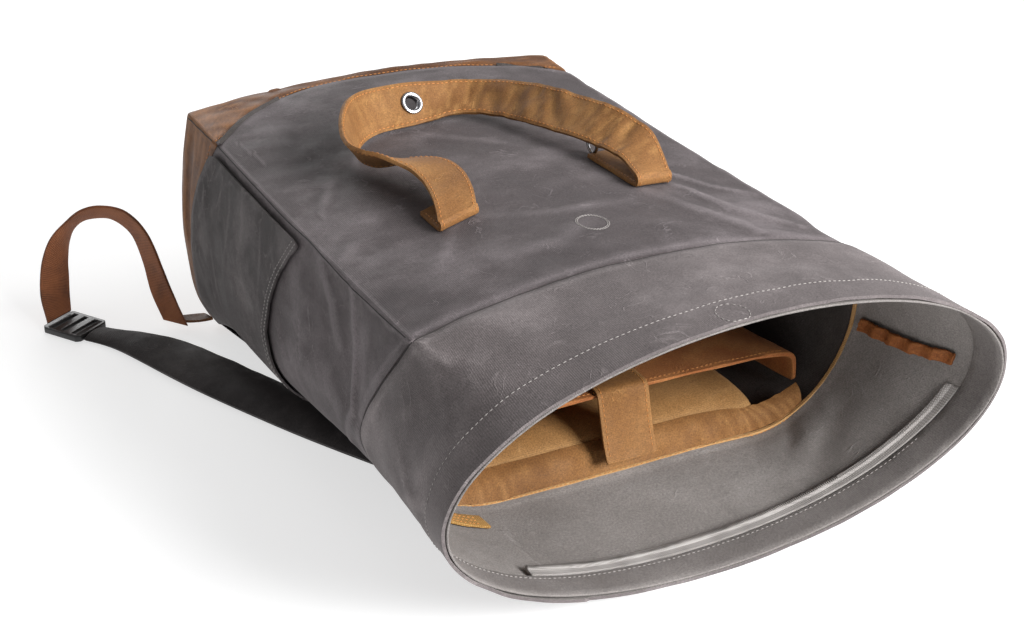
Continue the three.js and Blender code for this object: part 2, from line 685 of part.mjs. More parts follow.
function addHandle() {
  const wayPoints = (edge) => handleWay.map((row) => new THREE.Vector3(
    row[`${edge}X`] * halfWidth,
    row[`${edge}Y`] * frontLength,
    row[`${edge}Z`] * bagDepth,
  ));
  const edges = {};
  for (const edge of ['low', 'high']) {
    const left = foldPoints(handleFolds.left, edge);
    const right = foldPoints(handleFolds.right, edge).reverse();
    edges[edge] = [...left, ...wayPoints(edge), ...right];
  }
  const reach = edges.high.map((point, at) => point.clone().sub(edges.low[at]).setLength(handleWidth / 2));
  const centres = edges.low.map((point, at) => point.clone().lerp(edges.high[at], 0.5));
  const lows = centres.map((point, at) => point.clone().sub(reach[at]));
  const highs = centres.map((point, at) => point.clone().add(reach[at]));
  const strap = ribbon(lows, highs, handleThickness, 0, true);

  const at = foldPoints(handleFolds.left, 'low').length + eyeletRow;
  const run = centres[at + 1].clone().sub(centres[at - 1]).normalize();
  const axis = new THREE.Vector3().crossVectors(run, reach[at]).normalize();
  const turn = new THREE.Quaternion().setFromUnitVectors(new THREE.Vector3(0, 1, 0), axis);
  const place = new THREE.Matrix4().compose(centres[at], turn, new THREE.Vector3(1, 1, 1));
  const barrel = eyeletHole / 2 + eyeletFlange;
  const hole = new THREE.CylinderGeometry(barrel + layGap / 2, barrel + layGap / 2, handleWidth, 20);
  hole.applyMatrix4(place);

  const seat = handleThickness / 2 + seamGap;
  const profile = [
    [eyeletHole / 2, -seat - eyeletFlange],
    [eyeletOuter / 2 - eyeletFlange, -seat - eyeletFlange],
    [eyeletOuter / 2, -seat],
    [barrel, -seat],
    [barrel, seat],
    [eyeletOuter / 2, seat],
    [eyeletOuter / 2 - eyeletFlange, seat + eyeletFlange],
    [eyeletHole / 2, seat + eyeletFlange],
    [eyeletHole / 2, -seat - eyeletFlange],
  ].map(([radius, height]) => new THREE.Vector2(radius, height));
  const eyelet = new THREE.LatheGeometry(profile, 20);
  eyelet.applyMatrix4(place);

  const ringPlace = lows.at(-1).clone().lerp(highs.at(-1), 0.2);
  ringPlace.y += ringRadius / 2;
  ringPlace.z += ringRadius;
  const ring = (wire) => new THREE.TorusGeometry(ringRadius, wire / 2, 8, 20).rotateY(Math.PI / 2);
  const ringSolid = ring(ringWire).translate(...ringPlace);
  const ringRoom = ring(ringWire + 2 * layGap).translate(...ringPlace);
  addMesh('handle_strap', cutAway(strap.geometry, [hole, ringRoom]), tanCanvas);
  addMesh('eyelet', eyelet, silver);
  addMesh('strap_ring', ringSolid, silver);
}

// A shoulder strap's way on the floor, from under the back to its buckle: across as shares of half
// the width, along as shares of the front's length, and its width and thickness as shares
const padWay = [
  { across: 0.320, along: -0.827, width: 1.00, thick: 1.00 },
  { across: 0.470, along: -0.716, width: 1.00, thick: 1.00 },
  { across: 0.633, along: -0.605, width: 1.00, thick: 1.00 },
  { across: 0.833, along: -0.469, width: 1.00, thick: 1.00 },
  { across: 0.987, along: -0.346, width: 1.00, thick: 1.00 },
  { across: 1.133, along: -0.227, width: 1.00, thick: 1.00 },
  { across: 1.253, along: -0.111, width: 0.95, thick: 1.00 },
  { across: 1.360, along: -0.035, width: 0.50, thick: 0.90 },
  { across: 1.453, along: 0.015, width: 0.05, thick: 0.62 },
  { across: 1.547, along: 0.058, width: 0.00, thick: 0.42 },
];
// Half the outline of the padded section: across and up, as shares of its width and thickness
const padOutline = [
  { across: 0.00, up: 1.00 },
  { across: 0.22, up: 0.90 },
  { across: 0.42, up: 0.62 },
  { across: 0.50, up: 0.30 },
  { across: 0.47, up: 0.04 },
  { across: 0.25, up: 0.00 },
];

function planPoint(side, across, along) {
  return new THREE.Vector3(side * across * halfWidth, along * frontLength, 0);
}

// The buckle lies at the strap's end, turned a little towards the base
const buckleTurn = THREE.MathUtils.degToRad(33);
function buckleAway(side) {
  return new THREE.Vector3(side * Math.sin(buckleTurn), Math.cos(buckleTurn), 0);
}

function addShoulderStrap(name, side) {
  const centres = padWay.map((row) => planPoint(side, row.across, row.along));
  const rings = padWay.map((row, at) => {
    const before = centres[Math.max(at - 1, 0)];
    const after = centres[at + 1];
    const run = after ? after.clone().sub(before).normalize() : buckleAway(side);
    const across = new THREE.Vector3(-run.y, run.x, 0);
    const width = lerp(padEndWidth, padWidth, row.width);
    const thick = padThickness * row.thick;
    const half = (sign) => padOutline.map((point) => centres[at].clone()
      .addScaledVector(across, sign * point.across * width)
      .setZ(point.up * thick));
    return [...half(1), ...half(-1).slice(1).reverse()];
  });
  const middle = (ring) => ring[0].clone().setZ(ring[0].z / 2);
  addMesh(name, loft(rings, middle(rings[0]), middle(rings.at(-1))), darkCanvas);
}

function buckleFrame(side) {
  const last = padWay.at(-1);
  const end = planPoint(side, last.across, last.along);
  const away = buckleAway(side);
  const centre = end.clone().addScaledVector(away, buckleLength / 2 + layGap);
  return { away, centre, across: new THREE.Vector3(away.y, -away.x, 0) };
}

function addBuckle(name, side) {
  const { away, centre, across } = buckleFrame(side);
  const shape = new THREE.Shape();
  const halfAcross = buckleWidth / 2;
  const halfLong = buckleLength / 2;
  const corner = 3;
  shape.moveTo(-halfAcross + corner, -halfLong);
  shape.lineTo(halfAcross - corner, -halfLong);
  shape.lineTo(halfAcross, -halfLong + corner);
  shape.lineTo(halfAcross, halfLong - corner);
  shape.lineTo(halfAcross - corner, halfLong);
  shape.lineTo(-halfAcross + corner, halfLong);
  shape.lineTo(-halfAcross, halfLong - corner);
  shape.lineTo(-halfAcross, -halfLong + corner);
  shape.closePath();
  const slotLong = (buckleLength - 4 * buckleBar) / 3;
  for (let slot = 0; slot < 3; slot += 1) {
    const start = -halfLong + buckleBar + slot * (slotLong + buckleBar);
    const hole = new THREE.Path();
    hole.moveTo(-halfAcross + buckleSide, start);
    hole.lineTo(halfAcross - buckleSide, start);
    hole.lineTo(halfAcross - buckleSide, start + slotLong);
    hole.lineTo(-halfAcross + buckleSide, start + slotLong);
    hole.closePath();
    shape.holes.push(hole);
  }
  const buckle = new THREE.ExtrudeGeometry(shape, { depth: buckleThickness, bevelEnabled: false });
  const up = new THREE.Vector3(0, 0, 1);
  buckle.applyMatrix4(new THREE.Matrix4().makeBasis(across, away, up).setPosition(centre));
  addMesh(name, buckle, blackMetal);
}

// The webbing's way from the buckle to the base tab: its near edge and the direction across it
const webbingWay = [
  { across: 1.740, along: 0.163, up: 0.125, farX: 25, farY: 8, farZ: -8 },
  { across: 1.700, along: 0.193, up: 0.237, farX: 23, farY: 6, farZ: -16 },
  { across: 1.640, along: 0.200, up: 0.339, farX: 14, farY: 7, farZ: -22 },
  { across: 1.553, along: 0.198, up: 0.412, farX: 4, farY: 13, farZ: -22 },
  { across: 1.460, along: 0.188, up: 0.469, farX: -5, farY: 17, farZ: -22 },
  { across: 1.367, along: 0.170, up: 0.486, farX: -9, farY: 22, farZ: -19 },
  { across: 1.260, along: 0.143, up: 0.463, farX: -8, farY: 24, farZ: -13 },
  { across: 1.187, along: 0.109, up: 0.379, farX: -6, farY: 25, farZ: -9 },
  { across: 1.150, along: 0.077, up: 0.249, farX: -8, farY: 27, farZ: -7 },
  { across: 1.127, along: 0.042, up: 0.136, farX: -12, farY: 26, farZ: -6 },
  { across: 1.110, along: -0.020, up: 0.040, farX: -12, farY: 22, farZ: -2 },
];
const tabSeat = { index: leftStart + 7.8, from: -0.008, to: 0.046 };

function webbingEdges(side) {
  const { away, centre, across } = buckleFrame(side);
  const foot = centre.clone().addScaledVector(away, buckleLength / 2 - buckleBar / 2);
  foot.z = buckleThickness + webbingThickness / 2 + layGap;
  const reach = webbingWidth / 2;
  const near = [foot.clone().addScaledVector(across, side * reach)];
  const far = [foot.clone().addScaledVector(across, -side * reach)];
  for (const row of webbingWay) {
    const edge = planPoint(side, row.across, row.along).setZ(row.up * bagDepth);
    const direction = new THREE.Vector3(-side * row.farX, row.farY, row.farZ).setLength(webbingWidth);
    near.push(edge);
    far.push(edge.clone().add(direction));
  }
  return { near, far };
}

function addWebbing(name, tabName, side) {
  const { near, far } = webbingEdges(side);
  addMesh(name, ribbon(near, far, webbingThickness, 26, false).geometry, brownWebbing);

  const index = side < 0 ? tabSeat.index : around + leftStart - tabSeat.index;
  const seats = [tabSeat.to, tabSeat.from].map((along) => skin(wrap(index), along, -webbingThickness));
  const edge = far.at(-1).clone().sub(near.at(-1)).normalize();
  const toBag = seats[0].clone().lerp(seats[1], 0.5).sub(near.at(-1).clone().lerp(far.at(-1), 0.5));
  toBag.addScaledVector(edge, -toBag.dot(edge)).setLength(5 * layGap);
  const ends = [near.at(-1), far.at(-1)].map((point) => point.clone().add(toBag));
  const tab = ribbon([seats[0], ends[0]], [seats[1], ends[1]], webbingThickness, 0, true);
  addMesh(tabName, tab.geometry, brownCanvas);
}

// The sleeve's closing tab runs from the front over the mouth and down to the padded back
function addSleeveTab() {
  const left = 4;
  const clear = tape / 2 + layGap;
  const top = sleeveTop + 2 + clear;
  const mouth = -(sleeveMouth + clear);
  const way = [
    [-(sleeveMouth - 26), top],
    [-(sleeveMouth - 8), top],
    [-sleeveMouth, top],
    [mouth - 1.2, top - 2.5],
    [mouth - 4, (top + sleevePadTop) / 2 + 2],
    [mouth - 10, sleevePadTop - 3],
    [mouth - 16, sleevePadTop - 14],
  ];
  const edge = (x) => way.map(([y, z]) => new THREE.Vector3(x, y, z));
  const tab = ribbon(edge(left), edge(left + sleeveTabWidth), tape, 0, true);
  addMesh('sleeve_tab', tab.geometry, tanCanvas);
}

// A small tab of webbing inside the collar, at the left of the back
function addInnerTab() {
  const start = backStart + 0.6;
  const along = 1.12;
  const depth = canvas + layGap;
  const place = (u, v) => [start + u, along + v];
  const depths = () => [depth, depth + tape];
  const rounds = steps(0, innerTabLength / 15, 2);
  const alongs = steps(0, innerTabWidth / collarBack, 1);
  addMesh('inner_tab', plateOnSkin(rounds, alongs, place, depths), tanCanvas);
}

addHandle();
for (const [word, side] of [['left', -1], ['right', 1]]) {
  addShoulderStrap(`shoulder_strap_${word}`, side);
  addBuckle(`buckle_${word}`, side);
  addWebbing(`webbing_${word}`, `base_tab_${word}`, side);
}
addSleeveTab();
addInnerTab();

// The bag stands on the floor with its lowest point, and its middle is over the origin
const bounds = new THREE.Box3().setFromObject(bag);
const middle = bounds.getCenter(new THREE.Vector3());
bag.position.set(-middle.x, -middle.y, -bounds.min.z);

export default bag;
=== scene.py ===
# %% [markdown]
# A waxed-canvas roll-top backpack lies on its back with its collar open. The exact solids are
# loaded first and stay as they are. Each soft panel is then made again as finer cloth on top of
# its solid, with folds, seams and stitches, and the metal parts get rounded edges.

# %% Load the exact model and the tools
import contextlib
import json
import math

import bmesh
import bpy
import numpy as np
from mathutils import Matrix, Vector, noise
from mathutils.bvhtree import BVHTree
from mathutils.kdtree import KDTree

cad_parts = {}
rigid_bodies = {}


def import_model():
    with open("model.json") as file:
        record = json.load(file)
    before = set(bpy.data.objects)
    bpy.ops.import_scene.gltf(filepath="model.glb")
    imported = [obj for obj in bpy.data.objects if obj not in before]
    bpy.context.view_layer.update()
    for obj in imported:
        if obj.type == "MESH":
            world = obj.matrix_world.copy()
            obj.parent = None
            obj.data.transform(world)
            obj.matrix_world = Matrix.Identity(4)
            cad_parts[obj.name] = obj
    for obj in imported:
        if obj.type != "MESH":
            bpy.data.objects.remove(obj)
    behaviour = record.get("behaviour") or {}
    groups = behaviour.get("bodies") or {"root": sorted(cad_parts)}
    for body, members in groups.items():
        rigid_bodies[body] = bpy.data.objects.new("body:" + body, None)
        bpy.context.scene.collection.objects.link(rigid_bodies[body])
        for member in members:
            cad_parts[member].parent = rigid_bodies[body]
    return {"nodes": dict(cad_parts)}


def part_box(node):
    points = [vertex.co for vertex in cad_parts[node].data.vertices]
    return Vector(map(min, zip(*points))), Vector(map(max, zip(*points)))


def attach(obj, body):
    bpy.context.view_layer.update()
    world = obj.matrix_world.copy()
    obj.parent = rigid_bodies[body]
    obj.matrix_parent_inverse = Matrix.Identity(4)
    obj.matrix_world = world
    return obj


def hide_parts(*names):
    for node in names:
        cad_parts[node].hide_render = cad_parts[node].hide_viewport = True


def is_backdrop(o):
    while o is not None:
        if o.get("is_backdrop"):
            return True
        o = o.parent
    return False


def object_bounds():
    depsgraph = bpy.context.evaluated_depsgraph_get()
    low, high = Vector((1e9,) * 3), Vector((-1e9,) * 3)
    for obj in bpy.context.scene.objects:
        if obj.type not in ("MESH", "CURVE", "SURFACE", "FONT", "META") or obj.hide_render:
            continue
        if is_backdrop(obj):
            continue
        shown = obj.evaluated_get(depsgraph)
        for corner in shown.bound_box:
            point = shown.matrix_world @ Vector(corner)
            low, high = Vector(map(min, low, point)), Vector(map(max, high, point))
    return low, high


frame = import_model()
cad_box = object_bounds()
scene = bpy.context.scene
MM = 0.001
print("nodes:", len(frame["nodes"]))

# %% [markdown]
# The camera comes first, so that every later step is judged from the right place. It stands in
# front of the mouth, to the left, and looks down at the bag.

# %% Camera
camera_data = bpy.data.cameras.new("camera")
camera_data.sensor_width = 36
camera_data.lens = 62.09
camera = bpy.data.objects.new("camera", camera_data)
camera.location = (-0.4955, -1.0071, 0.6269)
camera.rotation_euler = (math.radians(90 - 26.7), 0, math.radians(-26.9))
scene.collection.objects.link(camera)
scene.camera = camera
print("camera at", tuple(round(value, 3) for value in camera.location))

# %% [markdown]
# A bag photographed for a shop lies on a white panel that is lit from below, so that its shadow
# stays faint. The strongest lamp is in front and to the right: it lights the inside of the
# collar and leaves the bag's left side in shade. One from behind grazes the waxed cloth.

# %% Floor and lamps
def linear(text):
    """A colour written as sRGB hex, as the linear values that nodes want."""
    parts = [int(text[at:at + 2], 16) / 255 for at in (1, 3, 5)]
    values = [part / 12.92 if part <= 0.04045 else ((part + 0.055) / 1.055) ** 2.4 for part in parts]
    return (*values, 1.0)


def fill(made, **inputs):
    """Sets or links a node's inputs, given by name, or by number as n0, n1 and so on."""
    for key, value in inputs.items():
        socket = made.inputs[int(key[1:]) if key[1:].isdigit() else key.replace("_", " ")]
        if isinstance(value, bpy.types.NodeSocket):
            made.id_data.links.new(value, socket)
        else:
            socket.default_value = value
    return made


def node(tree, kind, settings=None, **inputs):
    """Adds one node, with its settings, its values and its links."""
    made = tree.nodes.new(kind)
    for key, value in (settings or {}).items():
        setattr(made, key, value)
    return fill(made, **inputs)


def empty_material(name):
    """A material with only its surface shader and output."""
    material = bpy.data.materials.new(name)
    material.use_nodes = True
    tree = material.node_tree
    tree.nodes.clear()
    shader = tree.nodes.new("ShaderNodeBsdfPrincipled")
    output = tree.nodes.new("ShaderNodeOutputMaterial")
    tree.links.new(shader.outputs["BSDF"], output.inputs["Surface"])
    return material, tree, shader


floor_size = 12
floor_gap = 0.0005
studio_white, tree, shader = empty_material("studio_white_acrylic")
fill(shader, Base_Color=linear("#bcbcbc"), Roughness=0.9, Emission_Color=linear("#ffffff"),
     Emission_Strength=0.62)
bpy.ops.mesh.primitive_plane_add(size=floor_size, location=(0, 0, -floor_gap))
floor = bpy.context.object
floor.name = "floor"
floor.data.materials.append(studio_white)
floor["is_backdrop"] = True

# Each lamp's name, place, target, size in metres and power in watts.
lamps = [
    ("key_lamp", (1.3, -0.7, 1.45), (0.0, -0.05, 0.1), 1.1, 27),
    ("front_lamp", (0.9, -2.0, 1.1), (0.05, -0.2, 0.1), 0.9, 92),
    ("back_lamp", (0.1, 1.7, 0.75), (0.0, 0.0, 0.15), 0.9, 9),
]
for name, place, target, size, power in lamps:
    light = bpy.data.lights.new(name, "AREA")
    light.size = size
    light.energy = power
    lamp = bpy.data.objects.new(name, light)
    lamp.location = place
    lamp.rotation_euler = (Vector(target) - Vector(place)).to_track_quat("-Z", "Y").to_euler()
    scene.collection.objects.link(lamp)

world = bpy.data.worlds.new("studio")
world.use_nodes = True
fill(world.node_tree.nodes["Background"], Color=linear("#fbfbfb"), Strength=0.38)
scene.world = world
scene.view_settings.view_transform = "Standard"
print("lamps:", len(lamps))

# %% [markdown]
# Waxed canvas is cotton duck, a plain weave of threads about half a millimetre apart, soaked in
# wax. The wax makes it dark and slightly shiny, and it pales where the cloth has been folded.
# The weave is drawn about twice as coarse as it is, because it would not show otherwise. A
# "wear" value that each piece stores says where its cloth is creased.

# %% Waxed canvas
def calc(tree, operation, first, second=0.5, clamp=False):
    """The result of one Math node."""
    return node(tree, "ShaderNodeMath", {"operation": operation, "use_clamp": clamp},
                n0=first, n1=second).outputs[0]


def mapped(tree, value, source, target):
    """A value moved from one range to another."""
    return node(tree, "ShaderNodeMapRange", Value=value, From_Min=source[0], From_Max=source[1],
                To_Min=target[0], To_Max=target[1]).outputs[0]


def scaled(tree, vector, by):
    """A colour or vector times a value."""
    return node(tree, "ShaderNodeVectorMath", {"operation": "SCALE"}, n0=vector,
                Scale=by).outputs[0]


def clouds_of(tree, place, scale, detail, **inputs):
    """A noise texture."""
    return node(tree, "ShaderNodeTexNoise", Vector=place, Scale=scale, Detail=detail,
                **inputs).outputs["Fac"]


def bands(tree, axis, place, pitch, distortion, detail=2.0):
    """Regular bands across an axis, a pitch in millimetres apart."""
    return node(tree, "ShaderNodeTexWave", {"bands_direction": axis}, Vector=place,
                Scale=2 * math.pi / 20 / (pitch * MM), Distortion=distortion,
                Detail=detail).outputs["Fac"]


def tones(tree, value, colours, places):
    """A ramp through three colours at three places."""
    ramp = node(tree, "ShaderNodeValToRGB", Fac=value)
    steps = ramp.color_ramp.elements
    for step, at in ((steps[0], 0), (steps[1], 2)):
        step.position, step.color = places[at], linear(colours[at])
    steps.new(places[1]).color = linear(colours[1])
    return ramp.outputs["Color"]


def bump(tree, height, strength, distance, **inputs):
    """The normals of a relief, its depth given in millimetres."""
    return node(tree, "ShaderNodeBump", Strength=strength, Distance=distance * MM, Height=height,
                **inputs).outputs["Normal"]


def woven(name, body, pale, deep, thread=1.1, rough=0.7, wax=0.3, spread=0.34):
    """A woven cloth: threads from the piece's UV map, mottling from its own coordinates."""
    material, tree, shader = empty_material(name)
    place = node(tree, "ShaderNodeTexCoord")
    cloth = place.outputs["Object"]
    warp, weft = (bands(tree, axis, place.outputs["UV"], thread, 1.2, 1.0) for axis in "XY")
    cross = calc(tree, "MULTIPLY", warp, weft)
    slub = clouds_of(tree, cloth, 950, 2)
    clouds = clouds_of(tree, cloth, 13, 6, Roughness=0.62)
    patches = clouds_of(tree, cloth, 46, 4, Roughness=0.6)
    mottled = tones(tree, clouds, (deep, body, pale), (0.5 - spread, 0.5, 0.5 + spread))
    creased = node(tree, "ShaderNodeAttribute", {"attribute_name": "wear"})
    rub = calc(tree, "MULTIPLY", creased.outputs["Fac"], patches, clamp=True)
    # Fine crease lines follow a noise where it crosses its middle value, in some patches only.
    crinkle = clouds_of(tree, cloth, 30, 3, Roughness=0.55, Distortion=0.7)
    near = calc(tree, "ABSOLUTE", calc(tree, "SUBTRACT", crinkle, 0.5))
    lined = calc(tree, "MULTIPLY", mapped(tree, near, (0.0, 0.014), (1.0, 0.0)),
                 mapped(tree, patches, (0.5, 0.68), (0.0, 0.55)))
    worn = node(tree, "ShaderNodeMix", {"data_type": "RGBA"}, n6=mottled, n7=linear(pale),
                n0=calc(tree, "ADD", rub, lined, clamp=True))
    shade = calc(tree, "MULTIPLY", mapped(tree, slub, (0.3, 0.7), (0.76, 1.24)),
                 mapped(tree, cross, (0.0, 1.0), (0.9, 1.1)))
    soft = bump(tree, calc(tree, "ADD", patches, lined), 0.6, 0.9)
    fill(shader, Base_Color=scaled(tree, worn.outputs[2], shade), IOR=1.45,
         Roughness=mapped(tree, patches, (0.3, 0.7), (rough - 0.1, rough + 0.1)),
         Specular_IOR_Level=wax, Sheen_Weight=0.02, Sheen_Roughness=0.5,
         Normal=bump(tree, calc(tree, "ADD", cross, slub), 0.45, 0.3, Normal=soft))
    return material


grey_canvas = woven("waxed_canvas_grey", "#4e4748", "#7c7476", "#3b3637")
# The collar is the same grey canvas; this paler copy paints in the light that falls on it where it
# faces the lamps.
collar_canvas = woven("waxed_canvas_grey_painted_light", "#615a5a", "#8a8282", "#4c4646")
lining_canvas = woven("canvas_grey_inside", "#827d7a", "#97928f", "#716c69", wax=0.2)
facing_canvas = woven("waxed_canvas_grey_facing", "#6f6a68", "#898481", "#5c5754")
# The same lining as above, made darker for the inside of the body: painted shade deep in the bag.
lining_painted_shade = woven("canvas_grey_inside_painted_shade", "#413d3b", "#565150", "#353130", wax=0.2)
# The pockets are the same grey canvas; this darker copy paints in the shade on the bag's left side.
pocket_canvas_painted_shade = woven("waxed_canvas_grey_side_painted_shade", "#3f3a3a", "#7a7373", "#302c2c")
strap_canvas = woven("waxed_canvas_dark_grey", "#363232", "#504b4a", "#292626")
brown_canvas = woven("waxed_canvas_brown", "#58361d", "#946640", "#382112", rough=0.55, wax=0.25)
handle_canvas = woven("waxed_canvas_tan", "#7f5730", "#a27847", "#623e1c", thread=0.9)
sand_canvas = woven("cotton_canvas_sand", "#8e673b", "#a98253", "#6d4b28")
apron_canvas = woven("cotton_canvas_ochre", "#7d552d", "#9b7143", "#5e3b1b")
russet_tape = woven("cotton_tape_russet", "#8a5028", "#a66a38", "#5c3115")
flap_canvas = woven("cotton_canvas_russet", "#94592f", "#ae7645", "#6e3d1e")
print("cloths:", len([m for m in bpy.data.materials if "canvas" in m.name]))

# %% [markdown]
# Webbing is woven as a thick band: fine ribs run along it, crossed by shorter ones, and both
# edges are tightly bound. Its pattern follows the piece's own UV map, across and along the band.

# %% Webbing, zip, thread and metals
def webbing(name, body, pale, deep, rib):
    """A ribbed band: ribs along V, crossed by weft floats."""
    material, tree, shader = empty_material(name)
    place = node(tree, "ShaderNodeTexCoord")
    ribs = bands(tree, "X", place.outputs["UV"], rib, 0.4)
    floats = bands(tree, "Y", place.outputs["UV"], rib / 0.8, 0.6)
    both = calc(tree, "MULTIPLY", ribs, floats)
    mixed = calc(tree, "ADD", both, clouds_of(tree, place.outputs["Object"], 60, 4), clamp=True)
    fill(shader, Base_Color=tones(tree, mixed, (deep, body, pale), (0.3, 0.62, 1.0)),
         Roughness=0.75, IOR=1.5, Sheen_Weight=0.04, Normal=bump(tree, both, 0.5, 0.4))
    return material


def plain(name, colour, rough, metallic=0.0, grain=600, depth=0.02):
    """A smooth finish with a fine grain."""
    material, tree, shader = empty_material(name)
    place = node(tree, "ShaderNodeTexCoord")
    grains = clouds_of(tree, place.outputs["Object"], grain, 3)
    tone = mapped(tree, grains, (0.2, 0.8), (0.9, 1.08))
    fill(shader, Base_Color=scaled(tree, linear(colour)[:3], tone), Metallic=metallic, IOR=1.5,
         Roughness=mapped(tree, grains, (0.3, 0.7), (rough * 0.85, min(rough * 1.15, 1))),
         Normal=bump(tree, grains, 0.3, depth))
    return material


brown_webbing = webbing("cotton_webbing_brown", "#7e4625", "#9a5f35", "#4e2a17", rib=1.1)
tan_webbing = webbing("cotton_webbing_tan", "#93692f", "#b08a4c", "#6d491e", rib=1.6)
binding_tape = webbing("cotton_tape_sand", "#b58a55", "#c9a06c", "#8f6839", rib=1.0)
tan_thread = plain("polyester_thread_tan", "#b5763a", 0.6)
# A near-black colour for the seams' dark lines: painted shade of the grooves where panels meet.
seam_shadow_cord = plain("painted_seam_shadow", "#2b2726", 0.8)
grey_thread = plain("polyester_thread_grey", "#908b88", 0.6)
nickel = plain("polished_nickel", "#a2a2a5", 0.24, metallic=1.0, grain=250, depth=0.01)
black_lacquer = plain("black_lacquered_steel", "#232223", 0.35, grain=900)
zip_tape = webbing("zip_tape_grey", "#8d8885", "#a39f9c", "#6c6865", rib=1.2)
print("materials:", len(bpy.data.materials))

# %% [markdown]
# A panel of cloth is copied from its solid: the copy's loose triangles are merged, their
# diagonals are dissolved so that four-sided faces are left, and only the outer wall is kept. It
# is then smoothed with a Subdivision Surface, folded point by point, and given its thickness
# with Solidify, which keeps the wall even however deep the folds are.

# %% Tools for a cloth panel
def only(piece):
    """Makes one object the only selected and active one."""
    bpy.ops.object.select_all(action="DESELECT")
    piece.select_set(True)
    bpy.context.view_layer.objects.active = piece


def apply(piece, kind, **settings):
    """Adds a modifier, sets it and applies it."""
    only(piece)
    modifier = piece.modifiers.new(kind.lower(), kind)
    for key, value in settings.items():
        setattr(modifier, key, value)
    bpy.ops.object.modifier_apply(modifier=modifier.name)


@contextlib.contextmanager
def editing(piece, write=True):
    """A piece's mesh, opened as a bmesh and written back."""
    mesh = bmesh.new()
    mesh.from_mesh(piece.data)
    yield mesh
    if write:
        mesh.to_mesh(piece.data)
    mesh.free()


def merged_copy(source, name, merge=0.01 * MM, flat=50):
    """A copy of a solid with its triangles merged into four-sided faces where that is right."""
    piece = bpy.data.objects.new(name, frame["nodes"][source].data.copy())
    scene.collection.objects.link(piece)
    piece.data.materials.clear()
    with editing(piece) as mesh:
        bmesh.ops.remove_doubles(mesh, verts=mesh.verts, dist=merge)
        diagonals = []
        for edge in mesh.edges:
            if len(edge.link_faces) != 2:
                continue
            longest = all(edge.calc_length() >= max(e.calc_length() for e in face.edges) - 1e-7
                          for face in edge.link_faces)
            if longest and edge.calc_face_angle(math.pi) < math.radians(flat):
                diagonals.append(edge)
        bmesh.ops.dissolve_edges(mesh, edges=diagonals, use_verts=False)
    return piece


def keep_wall(piece, middle, least):
    """Keeps the outer wall: the faces that look away from the middle of their section."""
    with editing(piece) as mesh:
        mesh.normal_update()
        gone = []
        for face in mesh.faces:
            centre = face.calc_center_median()
            away = centre - Vector(middle(centre))
            if away.normalized().dot(face.normal) <= least:
                gone.append(face)
        bmesh.ops.delete(mesh, geom=gone, context="FACES")


def crease_corners(piece, angle, amount):
    """Marks the corners that the real cloth keeps, so that smoothing leaves them."""
    with editing(piece) as mesh:
        creases = mesh.edges.layers.float
        layer = creases.get("crease_edge") or creases.new("crease_edge")
        for edge in mesh.edges:
            if len(edge.link_faces) == 2 and edge.calc_face_angle(0) > math.radians(angle):
                edge[layer] = amount


def smooth(piece, levels=3):
    """Divides every face in a smooth way, a number of times."""
    apply(piece, "SUBSURF", levels=levels, render_levels=levels)


def co_of(piece, what="co"):
    """The place of each point of a piece, or its normal."""
    values = np.zeros(len(piece.data.vertices) * 3)
    piece.data.vertices.foreach_get(what, values)
    return values.reshape(-1, 3)


def shape_of(piece):
    """The places and the normals of a piece's points."""
    return co_of(piece), co_of(piece, "normal")


def move(piece, points):
    """Puts a piece's points in new places."""
    piece.data.vertices.foreach_set("co", points.ravel())
    piece.data.update()


def surface_of(piece):
    """A piece's faces, ready to be searched."""
    return BVHTree.FromPolygons([v.co for v in piece.data.vertices],
                                [p.vertices for p in piece.data.polygons])


def fold(high, width, *line):
    """One fold: how high it stands, how wide it is and the points that it follows, all in mm."""
    return {"high": high, "width": width, "line": np.array(line, float)}


def line_distance(points, line):
    """The distance from each point to a broken line, and how far along it the foot lies."""
    best = np.full(len(points), 1e9)
    share = np.zeros(len(points))
    for at in range(len(line) - 1):
        start, run = line[at], line[at + 1] - line[at]
        along = np.clip(((points - start) @ run) / (run @ run), 0, 1)
        away = np.linalg.norm(points - start - along[:, None] * run, axis=1)
        closer = away < best
        best = np.where(closer, away, best)
        share = np.where(closer, (at + along) / (len(line) - 1), share)
    return best, share


def fold_height(points, folds):
    """How far out the folds of a table lift each point: a ridge with a shallow dip beside it."""
    out = np.zeros(len(points))
    for row in folds:
        away, share = line_distance(points, row["line"] * MM)
        width = row["width"] * MM
        ridge = np.exp(-(away / width) ** 2) - 0.4 * np.exp(-(away / (2.1 * width)) ** 2)
        out += row["high"] * MM * ridge * np.sin(np.pi * np.clip(share, 0.03, 0.97)) ** 0.6
    return out


def crumple(points, size, seed, stretch=(1, 1, 1)):
    """Smooth random swells, about size millimetres across, from -1 to 1."""
    scale = np.array(stretch) / (size * MM)
    shift = Vector((seed * 7.1, seed * 3.7, seed * 1.9))
    return np.array([noise.noise(Vector(point * scale) + shift) for point in points])


def store_wear(piece, gain=1.0, ridges=0.0, by_bend=9, by_height=0.9):
    """Stores how strongly the cloth is folded outwards at each point, for the worn colour.
    Ridges are the heights of its folds, whose tops are rubbed pale."""
    points, normals = shape_of(piece)
    pairs = np.zeros(len(piece.data.edges) * 2, int)
    piece.data.edges.foreach_get("vertices", pairs)
    pairs = pairs.reshape(-1, 2)
    mean = np.zeros_like(points)
    count = np.zeros(len(points))
    for a, b in ((0, 1), (1, 0)):
        np.add.at(mean, pairs[:, a], points[pairs[:, b]])
        np.add.at(count, pairs[:, a], 1)
    offset = points - mean / np.maximum(count, 1)[:, None]
    bend = np.einsum("ij,ij->i", offset, normals) / MM
    wear = np.clip(bend * by_bend * gain + np.maximum(ridges, 0) / MM * by_height, 0, 1)
    layer = piece.data.attributes.new("wear", "FLOAT", "POINT")
    layer.data.foreach_set("value", wear.astype(np.float32))


